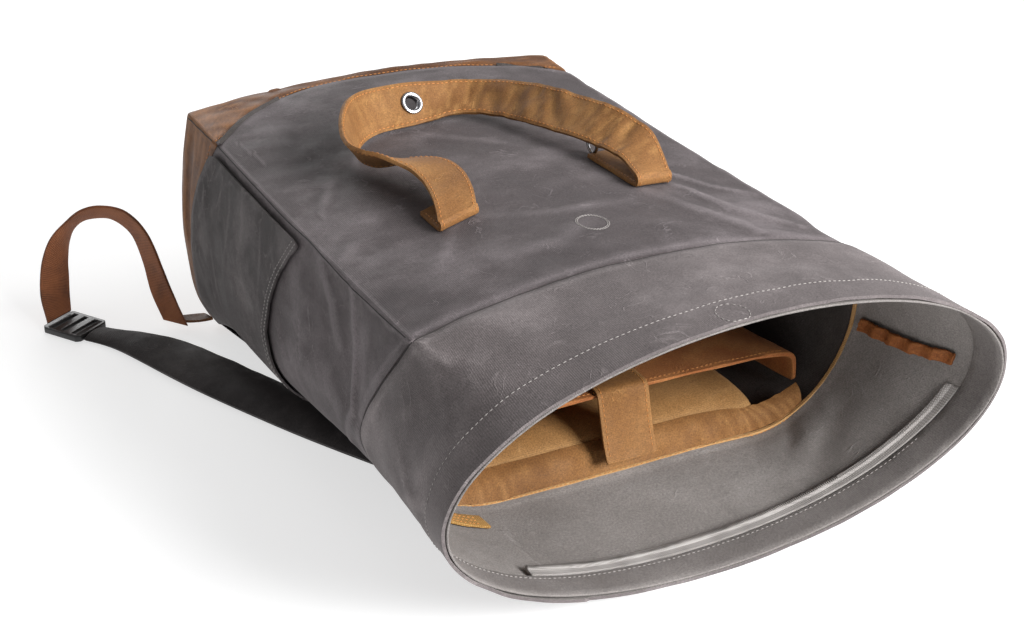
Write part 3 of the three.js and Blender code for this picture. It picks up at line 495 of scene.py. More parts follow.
def map_cloth(piece):
    """A UV map in metres, projected along the nearest axis, so that threads keep their size."""
    only(piece)
    bpy.ops.object.mode_set(mode="EDIT")
    bpy.ops.mesh.select_all(action="SELECT")
    bpy.ops.uv.cube_project(cube_size=1.0, correct_aspect=False)
    bpy.ops.object.mode_set(mode="OBJECT")


def finish_cloth(piece, material, nodes, sharp=50):
    """Material, shading and the piece's place in the frame. No point lies under the floor."""
    if not piece.data.materials:
        piece.data.materials.append(material)
    points = co_of(piece)
    points[:, 2] = np.maximum(points[:, 2], 0.0)
    move(piece, points)
    only(piece)
    bpy.ops.object.shade_smooth_by_angle(angle=math.radians(sharp))
    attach(piece, "root")
    if nodes:
        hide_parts(*nodes)
    print(piece.name, "faces", len(piece.data.polygons))


def thicken(piece, thickness, outside, inside=None):
    """Gives a surface its thickness, inwards, and a material for each side."""
    piece.data.materials.append(outside)
    if inside:
        piece.data.materials.append(inside)
    apply(piece, "SOLIDIFY", thickness=thickness, offset=-1,
          material_offset=1 if inside else 0, material_offset_rim=0)


def lay(piece, points, gain=1.0, ridges=0.0):
    """Puts a folded surface in place, with its wear and its UV map, and returns it searchable."""
    move(piece, points)
    store_wear(piece, gain, ridges)
    map_cloth(piece)
    return surface_of(piece)


def boundary(piece):
    """The places of the points on a piece's open edges."""
    with editing(piece, False) as mesh:
        return [v.co.copy() for v in mesh.verts if v.is_boundary]


def open_edge(piece, wanted, middle):
    """The points of a piece's open edge, in order round a middle, in millimetres."""
    spots = [spot for spot in boundary(piece) if wanted(spot)]
    spots.sort(key=lambda spot: math.atan2(spot.z - middle[2], spot.x - middle[0]))
    return [tuple(spot / MM) for spot in spots]


def groove(piece, depth, reach, only_near=None):
    """How far the cloth is drawn in along its open edges, as a seam does."""
    edge_points = boundary(piece)
    tree = KDTree(len(edge_points))
    for at, place in enumerate(edge_points):
        tree.insert(place, at)
    tree.balance()
    out = np.zeros(len(piece.data.vertices))
    for vertex in piece.data.vertices:
        if only_near and not only_near(vertex.co):
            continue
        away = tree.find(vertex.co)[2]
        out[vertex.index] = -depth * MM * math.exp(-(away / (reach * MM)) ** 2)
    return out


def new_piece(name, points, faces):
    """A new object with a mesh of points and faces."""
    mesh = bpy.data.meshes.new(name)
    mesh.from_pydata([tuple(point) for point in points], [], faces)
    piece = bpy.data.objects.new(name, mesh)
    scene.collection.objects.link(piece)
    return piece


# %% [markdown]
# The body is one tube of canvas. Its front panel is pulled into folds that start at the handle's
# ends, and its left side creases where the pocket and the collar meet it. Each fold is a row of
# a table: the line it follows in millimetres, how high it stands and how wide it is.

# %% Body tube
body_folds = [
    fold(0.9, 6, (-100, 40, 182), (-122, 0, 178), (-138, -30, 175)),
    fold(0.9, 8, (-60, -70, 189), (-84, -110, 186), (-110, -150, 181)),
    fold(0.8, 9, (-20, 60, 186), (10, 30, 187), (30, 4, 188)),
    fold(0.8, 8, (20, 90, 184), (40, 70, 185), (52, 40, 186)),
    fold(1.0, 7, (110, 120, 177), (124, 70, 177), (130, 20, 177)),
    fold(0.7, 9, (-40, -96, 190), (-10, -110, 191), (40, -112, 190)),
    fold(2.6, 7, (90, -81, 183), (97, -98, 181), (102, -139, 183), (114, -154, 181),
         (133, -172, 177)),
    fold(1.8, 9, (66, -99, 187), (76, -132, 187), (95, -182, 185), (131, -196, 178)),
    fold(1.6, 6, (96, -60, 182), (118, -90, 181), (140, -110, 176)),
    fold(3.6, 4.5, (-150, -116, 169), (-152, -123, 135), (-154, -124, 113), (-157, -125, 93),
         (-147, -92, 52)),
    fold(1.8, 8, (-150, -60, 172), (-153, -90, 150), (-157, -105, 120)),
    fold(1.2, 9, (-120, -60, 182), (-140, -80, 177), (-150, -96, 172)),
    fold(1.0, 16, (-110, 60, 181), (-60, 20, 187), (-30, -40, 190)),
    fold(1.2, 10, (93, 74, 182), (99, 25, 181), (88, -20, 183)),
    fold(1.1, 14, (20, -120, 191), (-30, -150, 191), (-80, -150, 187)),
    fold(0.8, 8, (-158, -60, 120), (-157, -30, 80), (-152, 0, 50)),
    fold(2.2, 8, (150, -60, 172), (165, -100, 120), (160, -120, 60)),
    fold(1.8, 9, (148, -150, 172), (172, -160, 120), (170, -150, 60)),
]
cloth_wall = 2 * MM
bag_middle = 88 * MM


def under_pocket(points, near, far, top, side=0.118):
    """Where a side pocket covers the cloth, which then takes no outward folds."""
    return ((np.abs(points[:, 0]) > side) & (points[:, 1] > near) & (points[:, 1] < far)
            & (points[:, 2] < top))


body = merged_copy("body_shell", "body_tube")
keep_wall(body, lambda centre: (0, centre.y, bag_middle), 0.25)
crease_corners(body, 38, 0.55)
smooth(body)
points, normals = shape_of(body)
ridges = fold_height(points, body_folds)
out = ridges.copy()
out += 1.0 * MM * crumple(points, 60, 1) + 0.5 * MM * crumple(points, 22, 2)
out += 0.5 * MM * crumple(points, 15, 3, (1, 0.35, 1)) * np.clip(crumple(points, 80, 4) + 0.2, 0, 1)
covered = under_pocket(points, -0.045, np.inf, 0.176)
out = np.where(covered, np.minimum(out, 0.0), out)
out += groove(body, 0.8, 3.0)
body_surface = lay(body, points + normals * out[:, None], 1.2, ridges * 0.5)
# The body's inside takes the darker copy of the lining: painted shade.
thicken(body, cloth_wall, grey_canvas, lining_painted_shade)
finish_cloth(body, grey_canvas, ["body_shell"])

# %% [markdown]
# The collar is a second tube sewn to the first. It is what rolls up to close the bag, so it has
# no stiffness of its own and takes broad soft dents.

# %% Collar
collar_folds = [
    fold(1.8, 8, (-160, -190, 120), (-162, -215, 140), (-150, -245, 156)),
    fold(1.6, 7, (-165, -200, 70), (-166, -230, 90), (-164, -262, 104)),
    fold(1.4, 7, (-140, -180, 178), (-147, -215, 165), (-157, -250, 140)),
    fold(1.2, 9, (-90, -170, 4), (-80, -200, 3), (-84, -235, 4)),
    fold(1.6, 6, (150, -150, 20), (140, -175, 14), (120, -190, 8)),
    fold(1.6, 6, (172, -150, 34), (162, -180, 24), (140, -205, 14)),
    fold(1.4, 12, (-150, -165, 170), (-120, -200, 184), (-80, -230, 188)),
    fold(0.9, 15, (-40, -210, 193), (-20, -250, 195), (-30, -285, 195)),
    fold(1.0, 13, (60, -205, 190), (80, -240, 193), (70, -280, 193)),
    fold(1.2, 12, (150, -180, 172), (160, -210, 170), (150, -250, 172)),
    fold(1.6, 10, (-163, -170, 120), (-166, -210, 100), (-166, -240, 80)),
    fold(2.0, 10, (200, -200, 120), (205, -170, 90), (196, -150, 60)),
    fold(1.8, 12, (190, -170, 50), (150, -200, 20), (120, -230, 8)),
    fold(1.0, 14, (60, -170, 6), (50, -210, 3), (56, -240, 1)),
]


def collar_middle(centre):
    """The middle of the collar's section at a point: the mouth lies further to the right."""
    return (0.012 if centre.y < -0.2 else 0.004), centre.y, 0.095


def seam_side(place):
    """Whether a point belongs to the edge sewn to the body, and not to the lip."""
    return place.y > -0.235


least_height = 0.3 * MM
collar = merged_copy("collar", "collar_tube")
keep_wall(collar, collar_middle, 0.25)
crease_corners(collar, 38, 0.4)
smooth(collar)
points, normals = shape_of(collar)
out = fold_height(points, collar_folds)
out += 1.4 * MM * crumple(points, 54, 6) + 0.55 * MM * crumple(points, 20, 7)
out = np.where(points[:, 2] < 0.012, np.minimum(out, 0), out)
out += groove(collar, 1.0, 4.0, seam_side)
points = points + normals * out[:, None]
points[:, 2] = np.maximum(points[:, 2], least_height)
collar_surface = lay(collar, points)
collar_edge = open_edge(collar, seam_side, (0.01, 0, 0.095))
# The collar's outside takes the paler copy of the grey canvas: painted light.
thicken(collar, cloth_wall, collar_canvas, lining_canvas)
finish_cloth(collar, collar_canvas, ["collar"])

# %% [markdown]
# The base is a cup of brown waxed canvas, thicker and glossier than the rest. It wrinkles in
# upright lines on its short sides, where the side seam gathers it.

# %% Base cup
base_folds = [
    fold(1.8, 4.5, (-158, 200, 60), (-160, 198, 110), (-153, 196, 160)),
    fold(1.6, 4, (-160, 188, 40), (-163, 184, 90), (-156, 176, 150)),
    fold(1.4, 4, (-160, 176, 60), (-162, 170, 100), (-155, 160, 150)),
    fold(1.6, 5, (158, 200, 60), (160, 198, 110), (153, 196, 160)),
    fold(0.8, 6, (-120, 206, 178), (-60, 200, 181), (0, 206, 184)),
]


base = merged_copy("base_cup", "base_panel")
keep_wall(base, lambda centre: (0, 0.12, 0.088), 0.2)
crease_corners(base, 38, 0.7)
smooth(base)
points, normals = shape_of(base)
ridges = fold_height(points, base_folds)
out = ridges.copy()
out += 0.8 * MM * crumple(points, 34, 9, (1, 2.6, 0.5))
out += 0.5 * MM * crumple(points, 14, 10, (1, 2.4, 0.5))
covered = under_pocket(points, -np.inf, 0.19, 0.17)
out = np.where(covered, np.minimum(out, 0), out)
out += groove(base, 1.0, 3.5)
points = points + normals * out[:, None]
points[:, 2] = np.maximum(points[:, 2], least_height)
base_surface = lay(base, points, 1.6, ridges * 0.6)
thicken(base, cloth_wall, brown_canvas)
finish_cloth(base, brown_canvas, ["base_cup"])

# %% [markdown]
# Each side pocket is a single layer sewn over the side, and it stands away from the bag along
# its open hem.

# %% Side pockets
hem_stand = 3.4 * MM
pocket_wall = 1.4 * MM
pocket_folds = [
    fold(1.2, 2.6, (157, 95, 162), (161, 88, 145), (166, 90, 120), (167, 98, 96)),
    fold(1.1, 2.4, (154, 70, 167), (159, 64, 150), (165, 60, 126)),
    fold(0.8, 2.4, (156, 110, 160), (162, 112, 130)),
    fold(1.1, 2.6, (158, 30, 158), (164, 24, 134), (169, 28, 104)),
    fold(0.8, 2.6, (156, -2, 160), (162, 10, 142), (166, 14, 120)),
    fold(1.0, 3.0, (166, 60, 112), (168, 50, 92), (165, 44, 70)),
    fold(0.9, 3.0, (165, 130, 110), (166, 120, 80), (160, 116, 52)),
]
pocket_surfaces = {}
# The hem's height and its place along the bag, from the floor up, in millimetres.
hem_rows = np.array([(20, 0), (54, 12), (84, 15), (111, 4), (141, -14), (168, -35), (176, -38)])


def hem_along(up):
    """Where the pocket's hem lies along the bag, at heights given in metres."""
    return np.interp(up, hem_rows[:, 0] * MM, hem_rows[:, 1] * MM)


def draw_hem(points, still=0.09):
    """Draws the cloth back from its open edge to the hem's line, less and less towards the base."""
    slab_high = 0.006
    slabs = np.arange(0, 0.18, slab_high)
    edges = [points[np.abs(points[:, 2] - slab) < slab_high, 1] for slab in slabs]
    found = [(slab, edge.min()) for slab, edge in zip(slabs, edges) if len(edge)]
    now = np.interp(points[:, 2], [slab for slab, _ in found], [edge for _, edge in found])
    wanted = hem_along(points[:, 2])
    share = np.clip((still - points[:, 1]) / (still - now), 0, 1)
    points[:, 1] += share * (wanted - now)
    return points


for word, sign in (("left", -1), ("right", 1)):
    pocket = merged_copy(f"side_pocket_{word}", f"pocket_{word}")
    keep_wall(pocket, lambda centre: (0, centre.y, bag_middle), 0.25)
    smooth(pocket)
    points, normals = shape_of(pocket)
    out = np.abs(0.9 * MM * crumple(points, 45, 12 + sign)) + 0.25 * MM
    out += np.maximum(0.8 * MM * crumple(points, 20, 14 + sign, (1, 1.6, 0.5)), 0)
    points = draw_hem(points)
    mirrored = points * (sign, 1, 1)
    ridges = fold_height(mirrored, pocket_folds)
    points = points + normals * (out + ridges)[:, None]
    for at, point in enumerate(points):
        hits = [tree.find_nearest(Vector(point)) for tree in (body_surface, base_surface)]
        place, _, _, away = min(hits, key=lambda hit: hit[3])
        if away > hem_stand:
            points[at] = np.array(place) + (point - np.array(place)) * (hem_stand / away)
    pocket_surfaces[word] = lay(pocket, points, 1.2, ridges)
    # The pocket takes the darker copy of the grey canvas: painted shade.
    thicken(pocket, pocket_wall, pocket_canvas_painted_shade)
    finish_cloth(pocket, pocket_canvas_painted_shade, [f"side_pocket_{word}"])

# %% [markdown]
# Straps are bands with two edges. Each is swept through the rows of a table, as in the solid: a
# smooth curve passes through the rows, and the band is laid between its low and high edge with
# its own UV map, across and along, which the weave and the stitches follow.

# %% Tools for a band
def smooth_rows(rows, count):
    """Points on the smooth curve through rows of points."""
    rows = np.array(rows, float)
    ends = [2 * rows[0] - rows[1], *rows, 2 * rows[-1] - rows[-2]]
    result = []
    for at in range(count + 1):
        place = at / count * (len(rows) - 1)
        whole = min(int(place), len(rows) - 2)
        t = place - whole
        a, b, c, d = ends[whole:whole + 4]
        result.append(0.5 * (2 * b + (c - a) * t + (2 * a - 5 * b + 4 * c - d) * t ** 2
                             + (3 * b - a - 3 * c + d) * t ** 3))
    return np.array(result)


def band(name, lows, highs, columns):
    """A flat strip of faces between two edges, with a UV map in metres."""
    lows, highs = np.array(lows), np.array(highs)
    width = np.linalg.norm(highs - lows, axis=1).mean()
    middles = (lows + highs) / 2
    along = np.concatenate([[0], np.cumsum(np.linalg.norm(np.diff(middles, axis=0), axis=1))])
    shares = np.linspace(0, 1, columns + 1)
    grid = lows[:, None] + (highs - lows)[:, None] * shares[None, :, None]
    rows = len(lows)
    faces = [[r * (columns + 1) + c, r * (columns + 1) + c + 1, (r + 1) * (columns + 1) + c + 1,
              (r + 1) * (columns + 1) + c] for r in range(rows - 1) for c in range(columns)]
    piece = new_piece(name, grid.reshape(-1, 3), faces)
    layer = piece.data.uv_layers.new(name="weave")
    uv = np.stack(np.broadcast_arrays(shares[None, :] * width, along[:, None]), 2).reshape(-1, 2)
    for loop in piece.data.loops:
        layer.data[loop.index].uv = uv[loop.vertex_index]
    return piece, along


def flat_band(piece, thickness, rounding):
    """Gives a band its thickness and rounds its edges."""
    apply(piece, "SOLIDIFY", thickness=thickness * MM, offset=0)
    apply(piece, "BEVEL", width=rounding * MM, segments=2, limit_method="ANGLE",
          angle_limit=math.radians(60))


# %% [markdown]
# Small trims keep their solids' shapes and get rounder and slightly crumpled: the facing inside
# the lip, the tapes over the seams, the sleeve and its tab. Their sharp edges are kept.

# %% Trims and the sleeve
trims = [
    # solid, name, times divided, sharpness of corners, cloth, slot, crumples' height and size, mm
    ("mouth_facing", "lip_facing", 2, 0.8, facing_canvas, "collar_canvas", 0.15, 40),
    ("seam_binding", "bound_seam", 3, 0.8, binding_tape, "tan_canvas", 0.5, 14),
    ("side_binding_left", "gathered_tape_left", 3, 0.3, russet_tape, "tan_canvas", 1.3, 5),
    ("side_binding_right", "gathered_tape_right", 3, 0.3, russet_tape, "tan_canvas", 1.3, 5),
    ("inner_tab", "inner_loop_tab", 3, 0.9, tan_webbing, "tan_canvas", 0.2, 10),
    ("sleeve_back", "sleeve_pad", 3, 0.25, sand_canvas, "tan_canvas", 0.8, 30),
    ("sleeve_front", "sleeve_panel", 3, 0.55, flap_canvas, "tan_canvas", 0.9, 40),
    ("sleeve_tab", "sleeve_closing_tab", 3, 0.9, apron_canvas, "tan_canvas", 0.3, 20),
    ("base_tab_left", "corner_tab_left", 3, 0.9, brown_canvas, "brown_canvas", 0.3, 10),
    ("base_tab_right", "corner_tab_right", 3, 0.9, brown_canvas, "brown_canvas", 0.3, 10),
]
trim_surfaces = {}
for at, (source, name, levels, corner, material, slot, high, size) in enumerate(trims):
    piece = merged_copy(source, name)
    crease_corners(piece, 45, corner)
    smooth(piece, levels)
    points, normals = shape_of(piece)
    inwards = high * MM * np.abs(crumple(points, size, 20 + at))
    lay(piece, points - normals * inwards[:, None])
    finish_cloth(piece, material, [source])
    trim_surfaces[name] = surface_of(piece)

# %% [markdown]
# The padded sleeve's cover runs on from the pad's edge to the bound seam, and at its right end
# to the corner of the bag. This stretch is one sheet, sewn along both edges.

# %% Sleeve apron
apron_left, apron_right = -0.124, 0.170
apron_wide = apron_right - apron_left
apron_steps, apron_columns = 90, 14


def apron_rows(last_pad_x=0.116):
    """The sheet's two edges: on the pad's front edge and on the bound seam."""
    upper, lower = [], []
    for at in range(apron_steps + 1):
        x = apron_left + apron_wide * at / apron_steps
        foot, up, _, _ = trim_surfaces["bound_seam"].find_nearest(Vector((x, -0.150, 0.022)))
        lower.append(np.array(foot + up * 0.7 * MM))
        pad_x = min(x, last_pad_x)
        hit = trim_surfaces["sleeve_pad"].ray_cast(Vector((pad_x, -0.3, 0.033)), Vector((0, 1, 0)))
        edge = np.array(hit[0]) + (0, -1.2 * MM, 0)
        beyond = max(x - last_pad_x, 0) / (apron_right - last_pad_x)
        upper.append(edge + (lower[-1] + (0, 8 * MM, 12 * MM) - edge) * beyond)
    return upper, lower


upper, lower = apron_rows()
apron, _ = band("sleeve_apron", upper, lower, apron_columns)
points = co_of(apron)
shares = np.tile(np.linspace(0, 1, apron_columns + 1), apron_steps + 1)
bulge = np.sin(np.pi * shares)
points[:, 2] += (2.2 + 0.9 * crumple(points, 16, 51)) * MM * bulge
points[:, 1] -= 1.5 * MM * bulge
move(apron, points)
store_wear(apron)
apply(apron, "SOLIDIFY", thickness=1.2 * MM, offset=0)
finish_cloth(apron, apron_canvas, [])

# %% [markdown]
# The zip is a nylon coil on a woven tape. The tape comes first, and the coil's turns are laid
# along its edge later, with the stitches.

# %% Zip
zip_piece = merged_copy("collar_zip", "zip_half")
crease_corners(zip_piece, 60, 0.6)
smooth(zip_piece)
store_wear(zip_piece)
map_cloth(zip_piece)
finish_cloth(zip_piece, zip_tape, ["collar_zip"])
zip_surface = surface_of(zip_piece)


def coil_line():
    """The middle of the coil: the solid's points that stand furthest off the collar, in order."""
    spots = [v.co.copy() for v in frame["nodes"]["collar_zip"].data.vertices]
    heights = [collar_surface.find_nearest(spot)[3] for spot in spots]
    tops = [spot for spot, height in zip(spots, heights) if height > max(heights) - 1.2 * MM]
    tops.sort(key=lambda spot: math.atan2(spot.z - 0.099, spot.x - 0.024))
    line = np.array(tops)
    window, step = 9, 6
    return np.array([line[max(at - window, 0):at + window + 1].mean(0)
                     for at in range(0, len(line), step)])


# %% [markdown]
# Hardware is stamped or cast and then tumbled, so no edge is sharp. A copy of each solid gets a
# small bevel, or a Subdivision Surface where the metal is round all over.

# %% Buckles, eyelet and ring
for word in ("left", "right"):
    buckle = merged_copy(f"buckle_{word}", f"ladder_buckle_{word}")
    apply(buckle, "BEVEL", width=0.9 * MM, segments=3, limit_method="ANGLE",
          angle_limit=math.radians(40))
    finish_cloth(buckle, black_lacquer, [f"buckle_{word}"])
for source, name in (("eyelet", "strap_eyelet"), ("strap_ring", "small_ring")):
    metal = merged_copy(source, name)
    smooth(metal, 2)
    finish_cloth(metal, nickel, [source])

# %% [markdown]
# The handle is a long strap of tan canvas, folded double and stitched along both edges. It
# stands on one edge in the middle and puckers on its right half, where it has been bent.

# %% Handle strap
handle_rows = [
    # low edge x, y, z and high edge x, y, z, as shares of bag_size
    (-0.313, -0.674, 1.120, -0.520, -0.696, 1.113),
    (-0.293, -0.620, 1.138, -0.493, -0.644, 1.132),
    (-0.310, -0.570, 1.144, -0.513, -0.605, 1.155),
    (-0.387, -0.528, 1.124, -0.553, -0.578, 1.172),
    (-0.453, -0.505, 1.097, -0.593, -0.548, 1.182),
    (-0.520, -0.475, 1.070, -0.640, -0.520, 1.185),
    (-0.547, -0.438, 1.062, -0.665, -0.475, 1.186),
    (-0.530, -0.393, 1.060, -0.620, -0.413, 1.192),
    (-0.475, -0.355, 1.060, -0.535, -0.350, 1.212),
    (-0.395, -0.328, 1.060, -0.442, -0.303, 1.209),
    (-0.300, -0.316, 1.060, -0.330, -0.276, 1.203),
    (-0.140, -0.313, 1.060, -0.125, -0.264, 1.198),
    (-0.067, -0.311, 1.064, 0.000, -0.257, 1.181),
    (0.080, -0.314, 1.075, 0.180, -0.257, 1.164),
    (0.180, -0.348, 1.086, 0.307, -0.296, 1.175),
    (0.240, -0.400, 1.098, 0.393, -0.368, 1.203),
    (0.280, -0.454, 1.109, 0.427, -0.430, 1.224),
    (0.313, -0.506, 1.119, 0.470, -0.479, 1.228),
    (0.360, -0.565, 1.124, 0.533, -0.556, 1.229),
    (0.390, -0.615, 1.127, 0.580, -0.605, 1.212),
    (0.407, -0.655, 1.124, 0.610, -0.640, 1.186),
    (0.410, -0.690, 1.118, 0.620, -0.668, 1.143),
]
bag_size = np.array([150, 405, 177])
shift_y = 206.36
gap = 0.7
handle_steps, handle_columns = 260, 14
handle_half_wide = 16
handle_half = 1.3
handle_folds = {
    # each edge's end as shares of bag_size, the length turned back and the turn's radius
    "left": {"low": (-0.347, -0.712), "high": (-0.547, -0.735), "back": 27, "radius": 2.6},
    "right": {"low": (0.387, -0.735), "high": (0.593, -0.715), "back": 62, "radius": 3.4},
}


def panel_height(x, y):
    """The height of the front panel under a point, in millimetres."""
    hit = body_surface.ray_cast(Vector((x * MM, y * MM, 0.4)), Vector((0, 0, -1)))
    return hit[0].z / MM


def fold_rows(side, edge):
    """The sewn end of the strap and its turn, on one edge."""
    end = handle_folds[side]
    x, y = end[edge][0] * bag_size[0], end[edge][1] * bag_size[1] + shift_y
    back, radius = end["back"], end["radius"]
    rest = handle_half + gap
    rows = [[x, y + step, panel_height(x, y + step) + rest] for step in (back, back / 2, 6)]
    for turn in (-60, -20, 20, 60, 90):
        angle = math.radians(turn)
        rows.append([x, y - radius * math.cos(angle),
                     panel_height(x, y) + rest + radius * (1 + math.sin(angle))])
    return rows


def handle_edge(edge, at):
    """One edge of the strap, from its left end to its right one."""
    way = [list(np.array(row[at:at + 3]) * bag_size + (0, shift_y, 0)) for row in handle_rows]
    rows = [*fold_rows("left", edge), *way, *fold_rows("right", edge)[::-1]]
    return smooth_rows(rows, handle_steps)


low, high = handle_edge("low", 0), handle_edge("high", 3)
centre = (low + high) / 2
reach = (high - low) / np.linalg.norm(high - low, axis=1)[:, None] * handle_half_wide
handle, handle_along = band("carry_strap", (centre - reach) * MM, (centre + reach) * MM,
                            handle_columns)
points, normals = shape_of(handle)
across = np.tile(np.linspace(-1, 1, handle_columns + 1), handle_steps + 1)
along = np.repeat(handle_along, handle_columns + 1)
share = along / handle_along[-1]
puckers = np.clip((share - 0.45) / 0.1, 0, 1) * np.clip((0.86 - share) / 0.08, 0, 1)
ripple = np.array([noise.noise(Vector((value * 75 + 0.5 * side, 0.5 * side, 3.1)))
                   + 0.5 * noise.noise(Vector((value * 190, 1.1 * side, 7.3)))
                   for value, side in zip(along, across)])
gathered = puckers * (1 - 0.55 * np.abs(across) ** 3)
out = (0.3 + 2.3 * gathered) * MM * ripple
out -= 0.35 * MM * np.exp(-((np.abs(across) - 0.8) / 0.08) ** 2)
move(handle, points + normals * out[:, None])
handle_grid = co_of(handle).reshape(handle_steps + 1, handle_columns + 1, 3)
store_wear(handle)
flat_band(handle, 2 * handle_half, 0.6)

# %% [markdown]
# The eyelet sits in a round hole, cut through the strap with a Boolean.

# %% Eyelet hole
eyelet_low, eyelet_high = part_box("eyelet")
eyelet_middle = (eyelet_low + eyelet_high) / 2
hole_radius = 5.6 * MM
grid_middle = handle_grid[:, handle_columns // 2]
near = int(np.argmin(np.linalg.norm(grid_middle - np.array(eyelet_middle), axis=1)))
run = Vector(grid_middle[near + 2] - grid_middle[near - 2]).normalized()
side = Vector(handle_grid[near, -1] - handle_grid[near, 0]).normalized()
axis = run.cross(side).normalized()
bpy.ops.mesh.primitive_cylinder_add(vertices=32, radius=hole_radius, depth=30 * MM,
                                    location=eyelet_middle,
                                    rotation=axis.to_track_quat("Z", "Y").to_euler())
punch = bpy.context.object
apply(handle, "BOOLEAN", operation="DIFFERENCE", object=punch, solver="EXACT")
bpy.data.objects.remove(punch)
finish_cloth(handle, handle_canvas, ["handle_strap"])

# %% [markdown]
# The webbing leaves the buckle, rises in an arch and comes down to the corner of the base. Both
# sides have the same rows, mirrored.

# %% Webbing
webbing_rows = [
    # near edge across, along and up as shares, then the direction over the band's width
    (1.740, 0.163, 0.125, 25, 8, -8), (1.700, 0.193, 0.237, 23, 6, -16),
    (1.640, 0.200, 0.339, 14, 7, -22), (1.553, 0.198, 0.412, 4, 13, -22),
    (1.460, 0.188, 0.469, -5, 17, -22), (1.367, 0.170, 0.486, -9, 22, -19),
    (1.260, 0.143, 0.463, -8, 24, -13), (1.187, 0.109, 0.379, -6, 25, -9),
    (1.150, 0.077, 0.249, -8, 27, -7), (1.127, 0.042, 0.136, -12, 26, -6),
    (1.110, -0.020, 0.040, -12, 22, -2),
]
webbing_wide = 26
webbing_half = 1.1
webbing_steps, webbing_columns = 130, 10
strap_end = (1.547, 0.058)
strap_turn = math.radians(33)
buckle_long = 38
buckle_lift = 5
overlap = 3.4
for word, sign in (("left", -1), ("right", 1)):
    away = np.array([sign * math.sin(strap_turn), math.cos(strap_turn), 0])
    sideways = np.array([away[1], -away[0], 0])
    end = np.array([sign * strap_end[0] * bag_size[0], strap_end[1] * bag_size[1], 0])
    foot = end + away * (buckle_long + gap - overlap)
    foot[2] = buckle_lift + webbing_half + gap
    near_rows = [foot + sideways * sign * webbing_wide / 2]
    far_rows = [foot - sideways * sign * webbing_wide / 2]
    for x, y, z, far_x, far_y, far_z in webbing_rows:
        edge = np.array([sign * x, y, z]) * bag_size
        direction = np.array([-sign * far_x, far_y, far_z], float)
        near_rows.append(edge)
        far_rows.append(edge + direction / np.linalg.norm(direction) * webbing_wide)
    near_line, far_line = (smooth_rows(rows, webbing_steps) + (0, shift_y, 0)
                           for rows in (near_rows, far_rows))
    strap, _ = band(f"adjusting_webbing_{word}", near_line * MM, far_line * MM, webbing_columns)
    points, normals = shape_of(strap)
    wave = 0.3 * MM * crumple(points, 14, 31 + sign)
    move(strap, points + normals * wave[:, None])
    flat_band(strap, 2 * webbing_half, 0.5)
    finish_cloth(strap, brown_webbing, [f"webbing_{word}"])

# %% [markdown]
# The shoulder straps are thin foam pads covered with canvas. They are long and flat, with bound
# edges that a voxel remesh would round away, so their solids are subdivided instead, and small
# puckers are laid into the upper face.

# %% Shoulder straps
for word, sign in (("left", -1), ("right", 1)):
    pad = merged_copy(f"shoulder_strap_{word}", f"padded_strap_{word}")
    crease_corners(pad, 50, 0.75)
    smooth(pad, 4)
    points, normals = shape_of(pad)
    upper_face = np.clip(normals[:, 2], 0, 1)
    out = upper_face * 0.7 * MM * crumple(points, 20, 41 + sign)
    out += upper_face * 0.3 * MM * crumple(points, 9, 44 + sign) - 0.3 * MM
    points = points + normals * out[:, None]
    points[:, 2] = np.clip(points[:, 2], 0.0, None)
    lay(pad, points)
    finish_cloth(pad, strap_canvas, [f"shoulder_strap_{word}"])

# %% [markdown]
# Stitches are short loops of thread that sink at both ends. One small grain of 24 faces is
# repeated along each seam, laid on the finished cloth with its own turn.

# %% Stitches
def resample(line, pitch):
    """Points at even distances on a broken line."""
    line = np.array(line, float)
    steps = np.linalg.norm(np.diff(line, axis=0), axis=1)
    places = np.concatenate([[0], np.cumsum(steps)])
    wanted = np.arange(pitch / 2, places[-1], pitch)
    return np.stack([np.interp(wanted, places, line[:, k]) for k in range(3)], 1)


def laid(line, surface, lift=0.0):
    """A line moved to the nearest points of a surface, with the surface's directions."""
    found = [surface.find_nearest(Vector(point)) for point in line]
    return (np.array([hit[0] for hit in found]) + lift * np.array([hit[1] for hit in found]),
            np.array([hit[1] for hit in found]))


bpy.ops.mesh.primitive_uv_sphere_add(segments=6, ring_count=4, radius=1)
grain = bpy.context.object
grain_points = co_of(grain)
grain_faces = [list(face.vertices) for face in grain.data.polygons]
bpy.data.objects.remove(grain)


def finish_thread_and_seam_shadow(piece, material):
    """Material, shading and place in the frame of a piece that is only thread, such as stitches, or
    a dark cord of painted seam shade.
    """
    piece.data.materials.append(material)
    only(piece)
    bpy.ops.object.shade_smooth()
    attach(piece, "root")


def sew(name, runs, material, slot, long=2.5, wide=0.65, cross=False):
    """One mesh of stitches at the spots of several runs, each spot with the cloth's normal."""
    places, faces = [], []
    for spots, ups in runs:
        for at, (spot, up) in enumerate(zip(spots, ups)):
            run = spots[min(at + 1, len(spots) - 1)] - spots[max(at - 1, 0)]
            if np.linalg.norm(run) < 1e-7:
                continue
            run = run / np.linalg.norm(run)
            side = np.cross(up, run)
            side /= max(np.linalg.norm(side), 1e-9)
            up = np.cross(run, side)
            if cross:
                run, side = side, run
            shape = (grain_points[:, :1] * side * wide / 2 + grain_points[:, 1:2] * up * wide / 2
                     + grain_points[:, 2:] * run * long / 2) * MM
            first = len(places) * len(grain_points)
            places.append(spot + shape)
            faces += [[index + first for index in face] for face in grain_faces]
    piece = new_piece(name, np.concatenate(places), faces)
    only(piece)
    bpy.ops.object.mode_set(mode="EDIT")
    bpy.ops.mesh.select_all(action="SELECT")
    bpy.ops.mesh.normals_make_consistent(inside=False)
    bpy.ops.object.mode_set(mode="OBJECT")
    finish_thread_and_seam_shadow(piece, material)
    print(name, "stitches", len(places))


